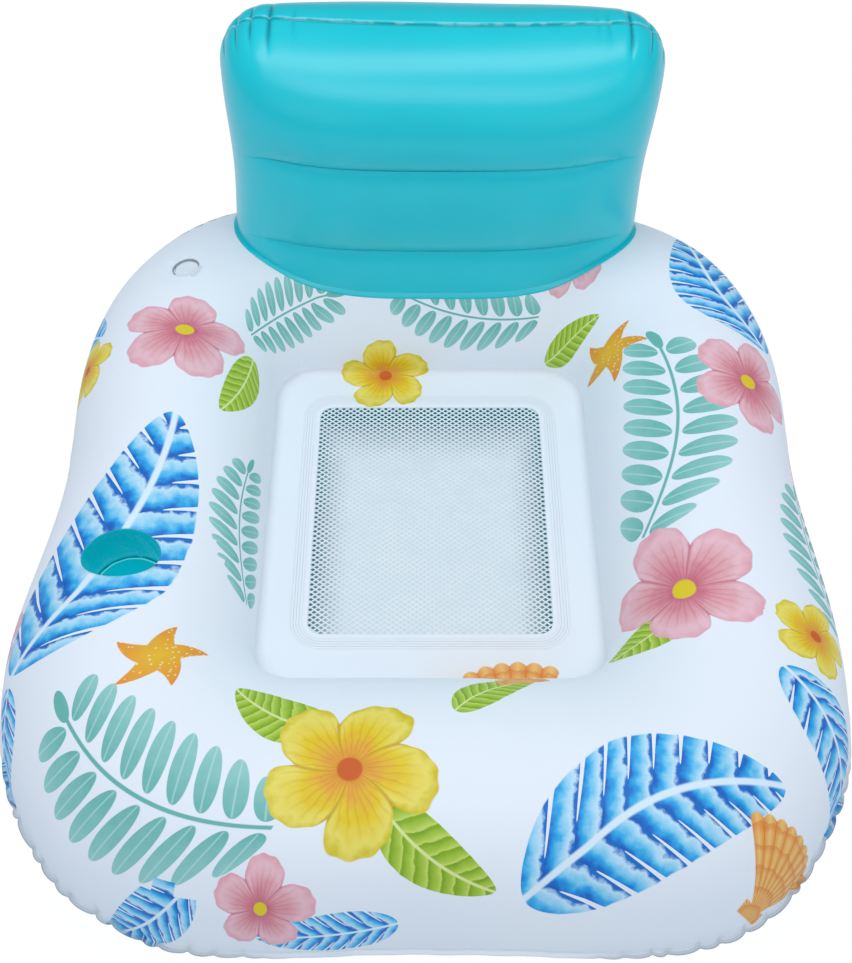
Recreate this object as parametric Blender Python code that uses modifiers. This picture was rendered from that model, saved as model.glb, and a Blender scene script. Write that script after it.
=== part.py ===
"""Inflatable pool chair: a two-sheet floating ring with a net seat, a backrest and a cup well.

Metres, +Z up. The sitter faces -Y and the backrest stands at +Y. The ring is two thin sheets that
meet at an outer weld seam and at a flat border round the seat net; the backrest is a pillow of two
panels with two inner ties. Each chamber has a valve with a cap and a non-return flap.
"""
import math

import bmesh
import bpy
from mathutils import Matrix, Vector
from mathutils.bvhtree import BVHTree

MM = 0.001

# Sheets and clearances
SHEET = 0.4 * MM              # thickness of the vinyl
GAP = 0.3 * MM                # clearance between pieces that are welded or rest on each other
WELD_FLANGE = 6 * MM          # width of the outer weld seam
OVERRUN = 20 * MM             # how far a cutter runs past what it cuts
MERGE = 0.01 * MM             # points closer than this are one
FITTING_REACH = 140 * MM      # radius of the sheet copied round a fitting for its collar
CORNER_STEPS = 5              # facets of a rounded corner
SEARCH_STEPS = 40             # halvings when a place on a surface is looked for

# Ring seen from above
BASE_WIDTH = 947 * MM         # between the outer seams
BASE_LENGTH = 1066 * MM
FRONT_SQUARENESS = 4.0        # power of the rounded outline: higher is squarer
REAR_SQUARENESS = 3.55
WAIST_DEPTH = 17.3 * MM       # how far each side is drawn in
WAIST_CENTRE_Y = 36 * MM
WAIST_SPREAD = 152 * MM
RING_STATIONS = 52

# Ring tube
SEAM_HEIGHT = 122 * MM        # seam plane above the floor, also the height of the net
SIDE_RISE = 130 * MM          # tube's top above the seam plane
FRONT_RISE = 138 * MM
REAR_RISE = 130 * MM
TOP_STEPS = 8                 # facets across the tube's upper half
UNDERSIDE_ANGLES = (0, 22.5, 45, 70, 110, 135, 157.5, 180)   # degrees round the tube's lower half

# Seat well and net
WELL_WIDTH = 410 * MM
WELL_LENGTH = 496 * MM
WELL_CENTRE_Y = 13 * MM
WELL_CORNER = 55 * MM
WINDOW_WIDTH = 290 * MM
WINDOW_LENGTH = 352 * MM
WINDOW_CENTRE_Y = 16 * MM
WINDOW_CORNER = 17 * MM
NET_THICKNESS = 0.5 * MM
NET_MARGIN = 32 * MM          # net held between the sheets outside the window
NET_STRAND = 4 * MM
NET_COLUMNS = 13
NET_ROWS = 10
BAND_WIDTH = 14 * MM          # weld band under the lower sheet, round the window

# Backrest
BACK_HALF_WIDTH = 274.5 * MM
BACK_PINCH = 10 * MM          # how far its sides are drawn in at mid height
BACK_TOP = 407 * MM           # top seam above the ring's seam plane
BACK_FOOT = 50 * MM           # where the panels start, inside the ring's tube
UPPER_CREASE = 283 * MM       # height of the two tie welds
LOWER_CREASE = 158 * MM
BACK_CORNER = 60 * MM
BACK_INSET = 90 * MM          # its side seams at the foot, in from the ring's rear seam
BACK_LEAN = 18 * MM           # how far the top seam lies behind the foot
BACK_SWAY = 13 * MM           # how far the soft backrest's top hangs over to +X
FRONT_DEPTH = 121 * MM        # front panel ahead of the seam plane, at the ties
REAR_DEPTH = 104 * MM
FRONT_FOOT_DEPTH = 127 * MM
REAR_FOOT_DEPTH = 54 * MM
LOBE_DEPTH = 13 * MM          # swell of each lobe past its tie welds
PLAN_ROUNDNESS = 3.0          # power of the section seen from above
TOP_ROUNDNESS = 2.4           # power of the top lobe seen from the side
TOP_SWELL_FADE = 6            # power that takes the top lobe's swell out at the top seam
BACK_FLANGE = 4 * MM
BACK_COLUMNS = 14
LOBE_ROWS = (3, 4, 7)         # facets up the lower, middle and upper lobe
CREASE_FADE_SHARES = (0.72, 0.96)   # of the half width, where a crease dies out
TIE_COLUMNS = 8               # columns of the panel that a tie spans
TIE_TAB = 8 * MM              # weld tab of a tie
FOOT_LIP = 6 * MM             # foot panel's lip outside the backrest

# Cup well on the left tube
CUP_ACROSS_SHARE = 0.5028     # of the way over the side tube, from the well outwards
CUP_Y = -127 * MM
CUP_MOUTH = (47 * MM, 33.5 * MM)    # half axes of the mouth, drawn wide by the tube's tension
CUP_FLOOR_RADIUS = 45 * MM
CUP_DEPTH = 75 * MM
CUP_NECK = 3 * MM             # straight part of the wall under the mouth's lowest point
CUP_COLLAR = 7 * MM
CUP_COLLAR_THICKNESS = 0.8 * MM
CUP_FLOOR_CROWN = 7 * MM
CUP_SIDES = 28
CUP_RINGS = 5
CUP_FLOOR_RINGS = 3

# Valves
VALVE_RECESS_RADIUS = 18.5 * MM
VALVE_WALL = 0.9 * MM
VALVE_RECESS_DEPTH = 7.5 * MM
VALVE_FLOOR = 1.2 * MM
THROAT_RADIUS = 8 * MM
THROAT_WALL = 1.2 * MM
THROAT_LENGTH = 5.3 * MM
VALVE_COLLAR = 6.5 * MM
COLLAR_THICKNESS = 0.8 * MM
CAP_RADIUS = 16.5 * MM
CAP_SUNK = 1.5 * MM           # cap's face below the sheet
CAP_THICKNESS = 2 * MM
PLUG_CLEARANCE = 0.4 * MM
PLUG_STRAIGHT = 0.3 * MM      # plug's full width below the recess floor
PLUG_TAPER_LENGTH = 2.7 * MM
PLUG_TAPER = 1.6 * MM
CAP_FLAT = 15.2 * MM          # flat on the cap's edge for the hinge web
WEB_LENGTH = 2 * MM
WEB_WIDTH = 8 * MM
WEB_THICKNESS = 0.8 * MM
FLAP_RADIUS = 9 * MM
FLAP_THICKNESS = 0.8 * MM
ROUND_STEPS = 24
BASE_VALVE_SIDE_SHARE = 0.4395     # of the way over the side tube, from the well outwards
BASE_VALVE_REAR_SHARE = 0.2463     # of the way over the rear tube
BACK_VALVE_SIDE_SHARE = 0.528      # of the backrest's half width
BACK_VALVE_RISE_SHARE = 0.323      # of the way from the lower crease to the upper one

# Places that follow from the sizes above
SIDE_TUBE = (BASE_WIDTH - WELL_WIDTH) / 2
REAR_TUBE = (BASE_LENGTH - WELL_LENGTH) / 2 - WELL_CENTRE_Y
CUP_X = -WELL_WIDTH / 2 - CUP_ACROSS_SHARE * SIDE_TUBE
BASE_VALVE_X = -WELL_WIDTH / 2 - BASE_VALVE_SIDE_SHARE * SIDE_TUBE
BASE_VALVE_Y = BASE_LENGTH / 2 - (1 - BASE_VALVE_REAR_SHARE) * REAR_TUBE
BACK_SEAM_Y = BASE_LENGTH / 2 - BACK_INSET
BACK_VALVE_X = BACK_VALVE_SIDE_SHARE * BACK_HALF_WIDTH
BACK_VALVE_HEIGHT = LOWER_CREASE + BACK_VALVE_RISE_SHARE * (UPPER_CREASE - LOWER_CREASE)

COLOURS = {
    "print_vinyl": ((0.86, 0.91, 0.95, 1), 0.35),
    "teal_vinyl": ((0.0, 0.50, 0.62, 1), 0.3),
    "cup_vinyl": ((0.0, 0.26, 0.30, 1), 0.3),
    "net": ((0.85, 0.89, 0.92, 1), 0.55),
    "valve": ((0.90, 0.93, 0.94, 1), 0.3),
}


def clear_scene():
    for item in list(bpy.data.objects):
        bpy.data.objects.remove(item, do_unlink=True)


def collection(name):
    group = bpy.data.collections.new(name)
    bpy.context.scene.collection.children.link(group)
    return group


clear_scene()
PARTS = collection("inflatable_pool_chair")
CUTTERS = collection("cutters")


def material(finish):
    found = bpy.data.materials.get(finish)
    if found:
        return found
    made = bpy.data.materials.new(finish)
    made.use_nodes = True
    colour, roughness = COLOURS[finish]
    shader = made.node_tree.nodes["Principled BSDF"]
    shader.inputs["Base Color"].default_value = colour
    shader.inputs["Roughness"].default_value = roughness
    shader.inputs["Metallic"].default_value = 0.0
    made.diffuse_color = colour
    return made


def mesh_object(name, points, faces, group, finish=None):
    mesh = bpy.data.meshes.new(name)
    mesh.from_pydata([tuple(point) for point in points], [], faces)
    mesh.update()
    item = bpy.data.objects.new(name, mesh)
    group.objects.link(item)
    if finish:
        mesh.materials.append(material(finish))
        mesh.shade_smooth()
    else:
        item.hide_render = True
        item.display_type = "WIRE"
    return item


def part(name, points, faces, finish):
    return mesh_object(name, points, faces, PARTS, finish)


def cutter(name, points, faces):
    return mesh_object(name, points, faces, CUTTERS)


def thicken(item, thickness):
    """Grow an open surface along its normals; a negative thickness grows it the other way."""
    solid = item.modifiers.new("wall", "SOLIDIFY")
    solid.thickness = abs(thickness)
    solid.offset = math.copysign(1, thickness)
    solid.use_even_offset = False


def boolean(item, other, operation="DIFFERENCE"):
    cut = item.modifiers.new(other.name, "BOOLEAN")
    cut.operation = operation
    cut.solver = "EXACT"
    cut.object = other


def blend(start, end, share):
    return start + (end - start) * share


def smooth_share(value, start, end):
    share = min(1, max(0, (value - start) / (end - start)))
    return share * share * (3 - 2 * share)


class Sheet:
    """A grid of points, rows by columns, closed along its rows if it runs round the ring.

    Each square of the grid is split along one diagonal, and the other one in the crossed columns.
    """

    def __init__(self, rows, closed=False, crossed=()):
        self.points = [Vector(point) for row in rows for point in row]
        self.triangles = []
        width = len(rows[0])
        for i in range(len(rows) if closed else len(rows) - 1):
            a, b = i * width, (i + 1) % len(rows) * width
            for j in range(width - 1):
                if j in crossed:
                    self.triangles += [(a + j, b + j, a + j + 1), (b + j, b + j + 1, a + j + 1)]
                else:
                    self.triangles += [(a + j, b + j, b + j + 1), (a + j, b + j + 1, a + j + 1)]

    def offset(self, distance):
        """The same sheet moved along its own normals."""
        mesh = bmesh.new()
        corners = [mesh.verts.new(point) for point in self.points]
        for triangle in self.triangles:
            mesh.faces.new([corners[i] for i in triangle])
        mesh.normal_update()
        moved = Sheet.__new__(Sheet)
        moved.points = [corner.co + corner.normal * distance for corner in corners]
        moved.triangles = self.triangles
        mesh.free()
        return moved

    def flipped(self):
        turned = Sheet.__new__(Sheet)
        turned.points = self.points
        turned.triangles = [triangle[::-1] for triangle in self.triangles]
        return turned

    def near(self, place, radius):
        """The part of the sheet round a place."""
        kept = Sheet.__new__(Sheet)
        kept.points = self.points
        kept.triangles = [t for t in self.triangles
                          if any((self.points[i] - place).length < radius for i in t)]
        return kept

    def slab(self, name, push):
        """A cutter that fills the space between the sheet and its copy moved by push."""
        count = len(self.points)
        points = self.points + [point + push for point in self.points]
        faces = [t[::-1] for t in self.triangles]
        faces += [tuple(i + count for i in t) for t in self.triangles]
        sides = {(t[k], t[(k + 1) % 3]) for t in self.triangles for k in range(3)}
        faces += [(a, b, b + count, a + count) for a, b in sides if (b, a) not in sides]
        return tidy(cutter(name, points, faces))

    def open_part(self, name, finish):
        return tidy(part(name, self.points, self.triangles, finish), False)

    def seat(self, place, outward):
        """The point and unit normal where a line along outward through a place meets the sheet."""
        tree = BVHTree.FromPolygons(self.points, self.triangles)
        point, normal, _, _ = tree.ray_cast(place + outward * BASE_LENGTH, -outward)
        if normal.dot(outward) < 0:
            normal = -normal
        return point, normal


def tidy(item, closed=True):
    """Drop loose and doubled points, and on a closed body turn all faces outwards."""
    mesh = bmesh.new()
    mesh.from_mesh(item.data)
    bmesh.ops.remove_doubles(mesh, verts=mesh.verts, dist=MERGE)
    loose = [corner for corner in mesh.verts if not corner.link_faces]
    bmesh.ops.delete(mesh, geom=loose, context="VERTS")
    if closed:
        bmesh.ops.recalc_face_normals(mesh, faces=mesh.faces)
    mesh.to_mesh(item.data)
    mesh.free()
    return item


def prism(maker, outline, low, high, hole=None, place=None):
    """A closed solid over an outline, from low to high along its own Z, with an optional hole."""
    count = len(outline)
    points = [(x, y, z) for z in (low, high) for x, y in outline]
    if hole:
        points += [(x, y, z) for z in (low, high) for x, y in hole]
        faces = []
        for k in range(count):
            n = (k + 1) % count
            faces += [(k, n, n + count, k + count),
                      (n + 2 * count, k + 2 * count, k + 3 * count, n + 3 * count),
                      (n, k, k + 2 * count, n + 2 * count),
                      (k + count, n + count, n + 3 * count, k + 3 * count)]
    else:
        faces = [tuple(reversed(range(count))), tuple(range(count, 2 * count))]
        faces += [(k, (k + 1) % count, (k + 1) % count + count, k + count) for k in range(count)]
    item = tidy(maker(points, faces))
    if place:
        item.matrix_world = place
    return item


def oval(half_x, half_y, steps, centre=(0, 0)):
    turns = [2 * math.pi * k / steps for k in range(steps)]
    return [(centre[0] + half_x * math.cos(t), centre[1] + half_y * math.sin(t)) for t in turns]


def rounded_rectangle(width, length, corner, centre_y):
    """Outline with round corners, anticlockwise seen from above."""
    points = []
    for turn, (sx, sy) in enumerate(((1, 1), (-1, 1), (-1, -1), (1, -1))):
        for k in range(CORNER_STEPS + 1):
            angle = math.pi / 2 * (turn + k / CORNER_STEPS)
            points.append((sx * (width / 2 - corner) + corner * math.cos(angle),
                           centre_y + sy * (length / 2 - corner) + corner * math.sin(angle)))
    return points


def turned(name, profile, place, finish):
    """A turned piece: the profile's (radius, height) points swept round its own Z."""
    closed = profile[0][0] > 0
    edges = [(k, k + 1) for k in range(len(profile) - 1)]
    if closed:
        edges.append((len(profile) - 1, 0))
    mesh = bpy.data.meshes.new(name)
    mesh.from_pydata([(radius, 0, height) for radius, height in profile], edges, [])
    mesh.materials.append(material(finish))
    item = bpy.data.objects.new(name, mesh)
    PARTS.objects.link(item)
    item.matrix_world = place
    screw = item.modifiers.new("turn", "SCREW")
    screw.steps = screw.render_steps = ROUND_STEPS
    screw.use_merge_vertices = True
    screw.merge_threshold = MERGE
    screw.use_smooth_shade = True
    return item


# Ring

def inside_outline(x, y):
    half_width = BASE_WIDTH / 2
    half_width -= WAIST_DEPTH * math.exp(-(((y - WAIST_CENTRE_Y) / WAIST_SPREAD) ** 2))
    power = FRONT_SQUARENESS if y < 0 else REAR_SQUARENESS
    return abs(x / half_width) ** power + abs(y / (BASE_LENGTH / 2)) ** power < 1


def reach(start, direction):
    """Distance from a point of the inner seam to the outer seam."""
    near, far = 0.0, BASE_LENGTH
    for _ in range(SEARCH_STEPS):
        middle = (near + far) / 2
        spot = start + direction * middle
        if inside_outline(spot.x, spot.y):
            near = middle
        else:
            far = middle
    return near


def well_stations():
    """Corner centres and outward directions, evenly spaced along the tube's outer side."""
    half_x = WELL_WIDTH / 2 - WELL_CORNER
    half_y = WELL_LENGTH / 2 - WELL_CORNER
    radius = WELL_CORNER + (BASE_LENGTH - WELL_LENGTH + BASE_WIDTH - WELL_WIDTH) / 4
    stops = [(0, 1, 90), (-1, 1, 90), (-1, 1, 180), (-1, -1, 180), (-1, -1, 270),
             (1, -1, 270), (1, -1, 360), (1, 1, 360), (1, 1, 450), (0, 1, 450)]
    legs, total = [], 0.0
    for (x0, y0, a0), (x1, y1, a1) in zip(stops, stops[1:]):
        length = math.hypot((x1 - x0) * half_x, (y1 - y0) * half_y)
        length += math.radians(a1 - a0) * radius
        legs.append((total, length, (x0, y0, a0), (x1, y1, a1)))
        total += length
    stations = []
    for k in range(RING_STATIONS):
        distance = total * k / RING_STATIONS
        start, length, first, last = [leg for leg in legs if leg[0] <= distance][-1]
        share = (distance - start) / length
        x, y, angle = (blend(a, b, share) for a, b in zip(first, last))
        turn = math.radians(angle)
        stations.append((x, y, Vector((math.cos(turn), math.sin(turn), 0))))
    return stations


def corner_point(x, y, direction, width, length, corner, centre_y):
    """A station's point on a rounded rectangle of any size round the well."""
    return Vector((x * (width / 2 - corner), centre_y + y * (length / 2 - corner), 0)) + direction * corner


def tube_rise(direction):
    ahead, behind = max(0, -direction.y) ** 2, max(0, direction.y) ** 2
    return SIDE_RISE + (FRONT_RISE - SIDE_RISE) * ahead + (REAR_RISE - SIDE_RISE) * behind


def ring_sheet(angles, side):
    """One sheet of the ring, on its inner face. side is 1 for the upper and -1 for the lower.
    The lower sheet runs on over the flat border, and the upper sheet's border is a piece of its own."""
    net_level = NET_THICKNESS / 2 + GAP
    seam_level = GAP / 2
    floor = SEAM_HEIGHT - SHEET
    rows = []
    for x, y, direction in well_stations():
        window = corner_point(x, y, direction, WINDOW_WIDTH, WINDOW_LENGTH, WINDOW_CORNER, WINDOW_CENTRE_Y)
        inner = corner_point(x, y, direction, WELL_WIDTH, WELL_LENGTH, WELL_CORNER, WELL_CENTRE_Y)
        width = reach(inner, direction)
        rise = tube_rise(direction)
        row = [(window, net_level)] if side < 0 else []
        for angle in angles:
            turn = math.radians(angle)
            across = (1 - math.cos(turn)) / 2
            level = blend(net_level, seam_level, across) + rise * math.sin(turn)
            row.append((inner + direction * width * across, level if side > 0 else min(level, floor)))
        row.append((inner + direction * (width + WELD_FLANGE), seam_level))
        rows.append([Vector((spot.x, spot.y, SEAM_HEIGHT + side * level)) for spot, level in row])
    sheet = Sheet(rows, closed=True)
    return sheet if side < 0 else sheet.flipped()


def net_border():
    """The upper sheet's flat border, which holds the net, welded to the tube at the inner seam."""
    level = SEAM_HEIGHT + NET_THICKNESS / 2 + GAP
    rows = []
    for x, y, direction in well_stations():
        window = corner_point(x, y, direction, WINDOW_WIDTH, WINDOW_LENGTH, WINDOW_CORNER, WINDOW_CENTRE_Y)
        inner = corner_point(x, y, direction, WELL_WIDTH, WELL_LENGTH, WELL_CORNER, WELL_CENTRE_Y)
        edge = inner - direction * (SHEET + GAP)
        rows.append([Vector((spot.x, spot.y, level)) for spot in (window, edge)])
    thicken(Sheet(rows, closed=True).flipped().open_part("base_net_border", "print_vinyl"), SHEET)


def ring():
    net_border()
    top_angles = [180 * k / TOP_STEPS for k in range(TOP_STEPS + 1)]
    upper = ring_sheet(top_angles, 1)
    lower = ring_sheet(UNDERSIDE_ANGLES, -1)
    top = upper.open_part("base_top_sheet", "print_vinyl")
    thicken(top, SHEET)
    bottom = lower.open_part("base_bottom_sheet", "teal_vinyl")
    thicken(bottom, SHEET)
    return upper, top


# Seat net

def seat_net():
    outer = rounded_rectangle(WINDOW_WIDTH + 2 * NET_MARGIN, WINDOW_LENGTH + 2 * NET_MARGIN,
                              WINDOW_CORNER + NET_MARGIN, WINDOW_CENTRE_Y)
    pitch_x = WINDOW_WIDTH / (NET_COLUMNS + 1)
    pitch_y = WINDOW_LENGTH / (NET_ROWS + 0.5)
    holes = []
    for column in range(NET_COLUMNS):
        x = (column - (NET_COLUMNS - 1) / 2) * pitch_x
        shift = pitch_y / 2 * (column % 2)
        for row in range(NET_ROWS):
            y = WINDOW_CENTRE_Y - WINDOW_LENGTH / 2 + pitch_y / 2 + row * pitch_y + shift
            half_x, half_y = pitch_x - NET_STRAND / 2, (pitch_y - NET_STRAND) / 2
            holes.append([(x + half_x, y), (x, y + half_y), (x - half_x, y), (x, y - half_y)])
    curve = bpy.data.curves.new("seat_net", "CURVE")
    curve.dimensions = "2D"
    curve.fill_mode = "BOTH"
    curve.extrude = NET_THICKNESS / 2
    for outline in [outer] + holes:
        spline = curve.splines.new("POLY")
        spline.points.add(len(outline) - 1)
        for point, (x, y) in zip(spline.points, outline):
            point.co = (x, y, 0, 1)
        spline.use_cyclic_u = True
    drawn = bpy.data.objects.new("seat_net_outline", curve)
    CUTTERS.objects.link(drawn)
    shape = bpy.data.meshes.new_from_object(drawn.evaluated_get(bpy.context.evaluated_depsgraph_get()))
    bpy.data.objects.remove(drawn)
    mesh = bmesh.new()
    mesh.from_mesh(shape)
    bmesh.ops.remove_doubles(mesh, verts=mesh.verts, dist=MERGE)
    mesh.to_mesh(shape)
    mesh.free()
    shape.materials.clear()
    shape.materials.append(material("net"))
    net = bpy.data.objects.new("seat_net", shape)
    net.location.z = SEAM_HEIGHT
    PARTS.objects.link(net)


def weld_band():
    """Flat band welded under the lower sheet's border, round the window."""
    sizes = ((WINDOW_WIDTH, WINDOW_LENGTH, WINDOW_CORNER),
             (WINDOW_WIDTH + 2 * BAND_WIDTH, WINDOW_LENGTH + 2 * BAND_WIDTH, WINDOW_CORNER + BAND_WIDTH))
    inner, outer = (rounded_rectangle(*size, WINDOW_CENTRE_Y) for size in sizes)
    top = SEAM_HEIGHT - NET_THICKNESS / 2 - GAP - SHEET - GAP
    prism(lambda points, faces: part("seat_net_weld_band", points, faces, "teal_vinyl"),
          outer, top - SHEET, top, hole=inner)


# Backrest

def crease_rows():
    """Heights of the panel's rows as shares of the way up, and the row numbers of the two tie welds."""
    span = BACK_TOP - BACK_FOOT
    stops = [0, (LOWER_CREASE - BACK_FOOT) / span, (UPPER_CREASE - BACK_FOOT) / span, 1]
    rows, creases = [0.0], []
    for low, high, count in zip(stops, stops[1:], LOBE_ROWS):
        lobe = [blend(low, high, (1 - math.cos(math.pi * k / count)) / 2) for k in range(1, count + 1)]
        if low:
            lobe[0] = low + TIE_TAB / span
        rows += lobe
        creases.append(len(rows) - 1)
    return rows, stops, creases[:2]


def swell(share, stops, side, fade):
    """Depth of a panel off the seam plane at a share of the way up."""
    tie, foot = (FRONT_DEPTH, FRONT_FOOT_DEPTH) if side < 0 else (REAR_DEPTH, REAR_FOOT_DEPTH)
    low, high = [pair for pair in zip(stops, stops[1:]) if pair[0] <= share][-1]
    along = min(1.0, (share - low) / (high - low))
    arch = math.sqrt(max(0.0, 4 * along * (1 - along)))
    arch = blend(arch, 1.0, fade)
    if high == 1:
        closing = max(0.0, 1 - along ** TOP_ROUNDNESS) ** (1 / TOP_ROUNDNESS)
        return tie * closing + LOBE_DEPTH * arch * math.sqrt(max(0.0, 1 - along ** TOP_SWELL_FADE))
    base = blend(foot, tie, smooth_share(share, 0, stops[1]))
    return base + LOBE_DEPTH * arch


def back_point(across, share, stops, side, extra=0.0):
    """A point of a backrest panel. extra carries the seam's own line outwards into the weld flange."""
    half = BACK_HALF_WIDTH - BACK_PINCH * math.sin(math.pi * share)
    sine = math.sin(across * math.pi / 2)
    x = (half + extra) * sine
    corner = BACK_CORNER + extra
    over = max(0.0, abs(x) - (half + extra - corner))
    top = BACK_TOP + extra - corner + math.sqrt(max(0.0, corner * corner - over * over))
    z = BACK_FOOT + (top - BACK_FOOT) * share
    up = (z - BACK_FOOT) / (BACK_TOP - BACK_FOOT)
    depth = GAP / 2
    if not extra:
        fade = smooth_share(abs(sine), *CREASE_FADE_SHARES)
        plan = max(0.0, 1 - abs(sine) ** PLAN_ROUNDNESS) ** (1 / PLAN_ROUNDNESS)
        depth += swell(share, stops, side, fade) * plan
    return Vector((x + BACK_SWAY * up, BACK_SEAM_Y + BACK_LEAN * up + side * depth, SEAM_HEIGHT + z))


def back_sheet(side):
    shares, stops, _ = crease_rows()
    across = [2 * k / BACK_COLUMNS - 1 for k in range(BACK_COLUMNS + 1)]
    rows = []
    for share in shares:
        row = [back_point(a, share, stops, side) for a in across]
        ends = [back_point(a, share, stops, side, BACK_FLANGE) for a in (-1, 1)]
        rows.append([ends[0]] + row + [ends[1]])
    edge = [back_point(a, 1, stops, side, BACK_FLANGE) for a in across]
    rows.append([edge[0]] + edge + [edge[-1]])
    sheet = Sheet(rows)
    return sheet if side > 0 else sheet.flipped()


def foot_outline(ring_top):
    """The backrest's foot seen from above, where its panels meet the ring, widened by the lip."""
    _, stops, _ = crease_rows()
    tree = BVHTree.FromPolygons(ring_top.points, ring_top.triangles)
    points = []
    for side in (-1, 1):
        for k in range(BACK_COLUMNS):
            low, high = 0.0, stops[1]
            for _ in range(SEARCH_STEPS):
                middle = (low + high) / 2
                spot = back_point(side * (1 - 2 * k / BACK_COLUMNS), middle, stops, side)
                if tree.ray_cast(spot, Vector((0, 0, 1)))[0]:
                    low = middle
                else:
                    high = middle
            points.append(Vector((spot.x, spot.y)))
    count = len(points)
    wide = []
    for k, point in enumerate(points):
        along = (points[(k + 1) % count] - points[k - 1]).normalized()
        wide.append(tuple(point + Vector((along.y, -along.x)) * FOOT_LIP))
    return wide


def tie(name, row, front, rear, stride):
    """A strip between the two panels at a tie weld, with a weld tab up each panel to its next row."""
    middle = (BACK_COLUMNS + 2) // 2
    lines = []
    for j in range(middle - TIE_COLUMNS // 2, middle + TIE_COLUMNS // 2 + 1):
        weld, tab = row * stride + j, (row + 1) * stride + j
        lines.append([front.points[tab], front.points[weld], rear.points[weld], rear.points[tab]])
    strip = Sheet(lines, crossed=(0,)).open_part(name, "teal_vinyl")
    thicken(strip, SHEET)


def backrest(ring_top):
    front, rear = back_sheet(-1), back_sheet(1)
    raised = SHEET + GAP
    foot_cut = ring_top.offset(2 * raised).slab("under_backrest", Vector((0, 0, -SEAM_HEIGHT - SIDE_RISE)))
    fronts = front.open_part("backrest_front_panel", "teal_vinyl")
    rears = rear.open_part("backrest_rear_panel", "teal_vinyl")
    for panel in (fronts, rears):
        thicken(panel, SHEET)
        boolean(panel, foot_cut)
    _, _, creases = crease_rows()
    inside_front, inside_rear = front.offset(-GAP), rear.offset(-GAP)
    for name, row in zip(("backrest_lower_tie", "backrest_upper_tie"), creases):
        tie(name, row, inside_front, inside_rear, BACK_COLUMNS + 3)
    foot = ring_top.offset(raised).open_part("backrest_foot_panel", "teal_vinyl")
    thicken(foot, SHEET)
    low = SEAM_HEIGHT + NET_THICKNESS
    trim = prism(lambda points, faces: cutter("foot_trim", points, faces), foot_outline(ring_top),
                 low, SEAM_HEIGHT + SIDE_RISE + OVERRUN)
    boolean(foot, trim, "INTERSECT")
    return rear, rears


# Cup well

def cup(ring_top, top):
    crest, _ = ring_top.seat(Vector((CUP_X, CUP_Y, SEAM_HEIGHT)), Vector((0, 0, 1)))
    mouth = oval(*CUP_MOUTH, CUP_SIDES, (CUP_X, CUP_Y))
    hole = prism(lambda points, faces: cutter("cup_mouth", points, faces), mouth,
                 crest.z - OVERRUN, crest.z + OVERRUN)
    boolean(top, hole)
    rim = [ring_top.seat(Vector((x, y, SEAM_HEIGHT)), Vector((0, 0, 1)))[0].z for x, y in mouth]
    neck = min(rim) - CUP_NECK
    floor_z = crest.z - CUP_DEPTH
    levels = [(crest.z + OVERRUN / 2, 0.0)]
    levels += [(blend(neck, floor_z, k / CUP_RINGS), k / CUP_RINGS) for k in range(CUP_RINGS + 1)]
    rows = []
    for z, share in levels:
        bellied = math.sin(share * math.pi / 2)
        half = [blend(a, CUP_FLOOR_RADIUS, bellied) for a in CUP_MOUTH]
        rows.append([(x, y, z) for x, y in oval(*half, CUP_SIDES, (CUP_X, CUP_Y))])
    columns = [[row[k] for row in rows] for k in range(CUP_SIDES)]
    wall = Sheet(columns, closed=True).flipped().open_part("cup_wall", "cup_vinyl")
    thicken(wall, SHEET)
    patch = ring_top.near(crest, FITTING_REACH)
    collar = patch.offset(-GAP).open_part("cup_collar", "cup_vinyl")
    thicken(collar, -CUP_COLLAR_THICKNESS)
    inner = oval(*(half + SHEET / 2 for half in CUP_MOUTH), CUP_SIDES, (CUP_X, CUP_Y))
    outer = oval(*(half + CUP_COLLAR for half in CUP_MOUTH), CUP_SIDES, (CUP_X, CUP_Y))
    trim = prism(lambda points, faces: cutter("cup_collar_trim", points, faces), outer,
                 crest.z - OVERRUN, crest.z + OVERRUN, hole=inner)
    boolean(collar, trim, "INTERSECT")
    above = patch.offset(-GAP - SHEET).slab("above_cup_collar", Vector((0, 0, 2 * OVERRUN)))
    join_under(wall, collar, above)
    rows = []
    for k in range(1, CUP_FLOOR_RINGS + 1):
        share = k / CUP_FLOOR_RINGS
        radius = (CUP_FLOOR_RADIUS - GAP) * share
        z = floor_z + CUP_FLOOR_CROWN * math.cos(share * math.pi / 2)
        rows.append([(x, y, z) for x, y in oval(radius, radius, CUP_SIDES, (CUP_X, CUP_Y))])
    count = CUP_SIDES
    points = [(CUP_X, CUP_Y, floor_z + CUP_FLOOR_CROWN)] + [point for row in rows for point in row]
    faces = [(0, 1 + k, 1 + (k + 1) % count) for k in range(count)]
    for ring_row in range(len(rows) - 1):
        a, b = 1 + ring_row * count, 1 + (ring_row + 1) * count
        faces += [(a + k, b + k, b + (k + 1) % count, a + (k + 1) % count) for k in range(count)]
    thicken(tidy(part("cup_floor", points, faces, "cup_vinyl"), False), SHEET)


def join_under(item, collar, above):
    """Trim a well's wall under the sheet and join its collar to it."""
    boolean(item, above)
    boolean(item, collar, "UNION")
    for group in list(collar.users_collection):
        group.objects.unlink(collar)
    CUTTERS.objects.link(collar)
    collar.hide_render = True
    collar.display_type = "WIRE"


# Valves

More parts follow.
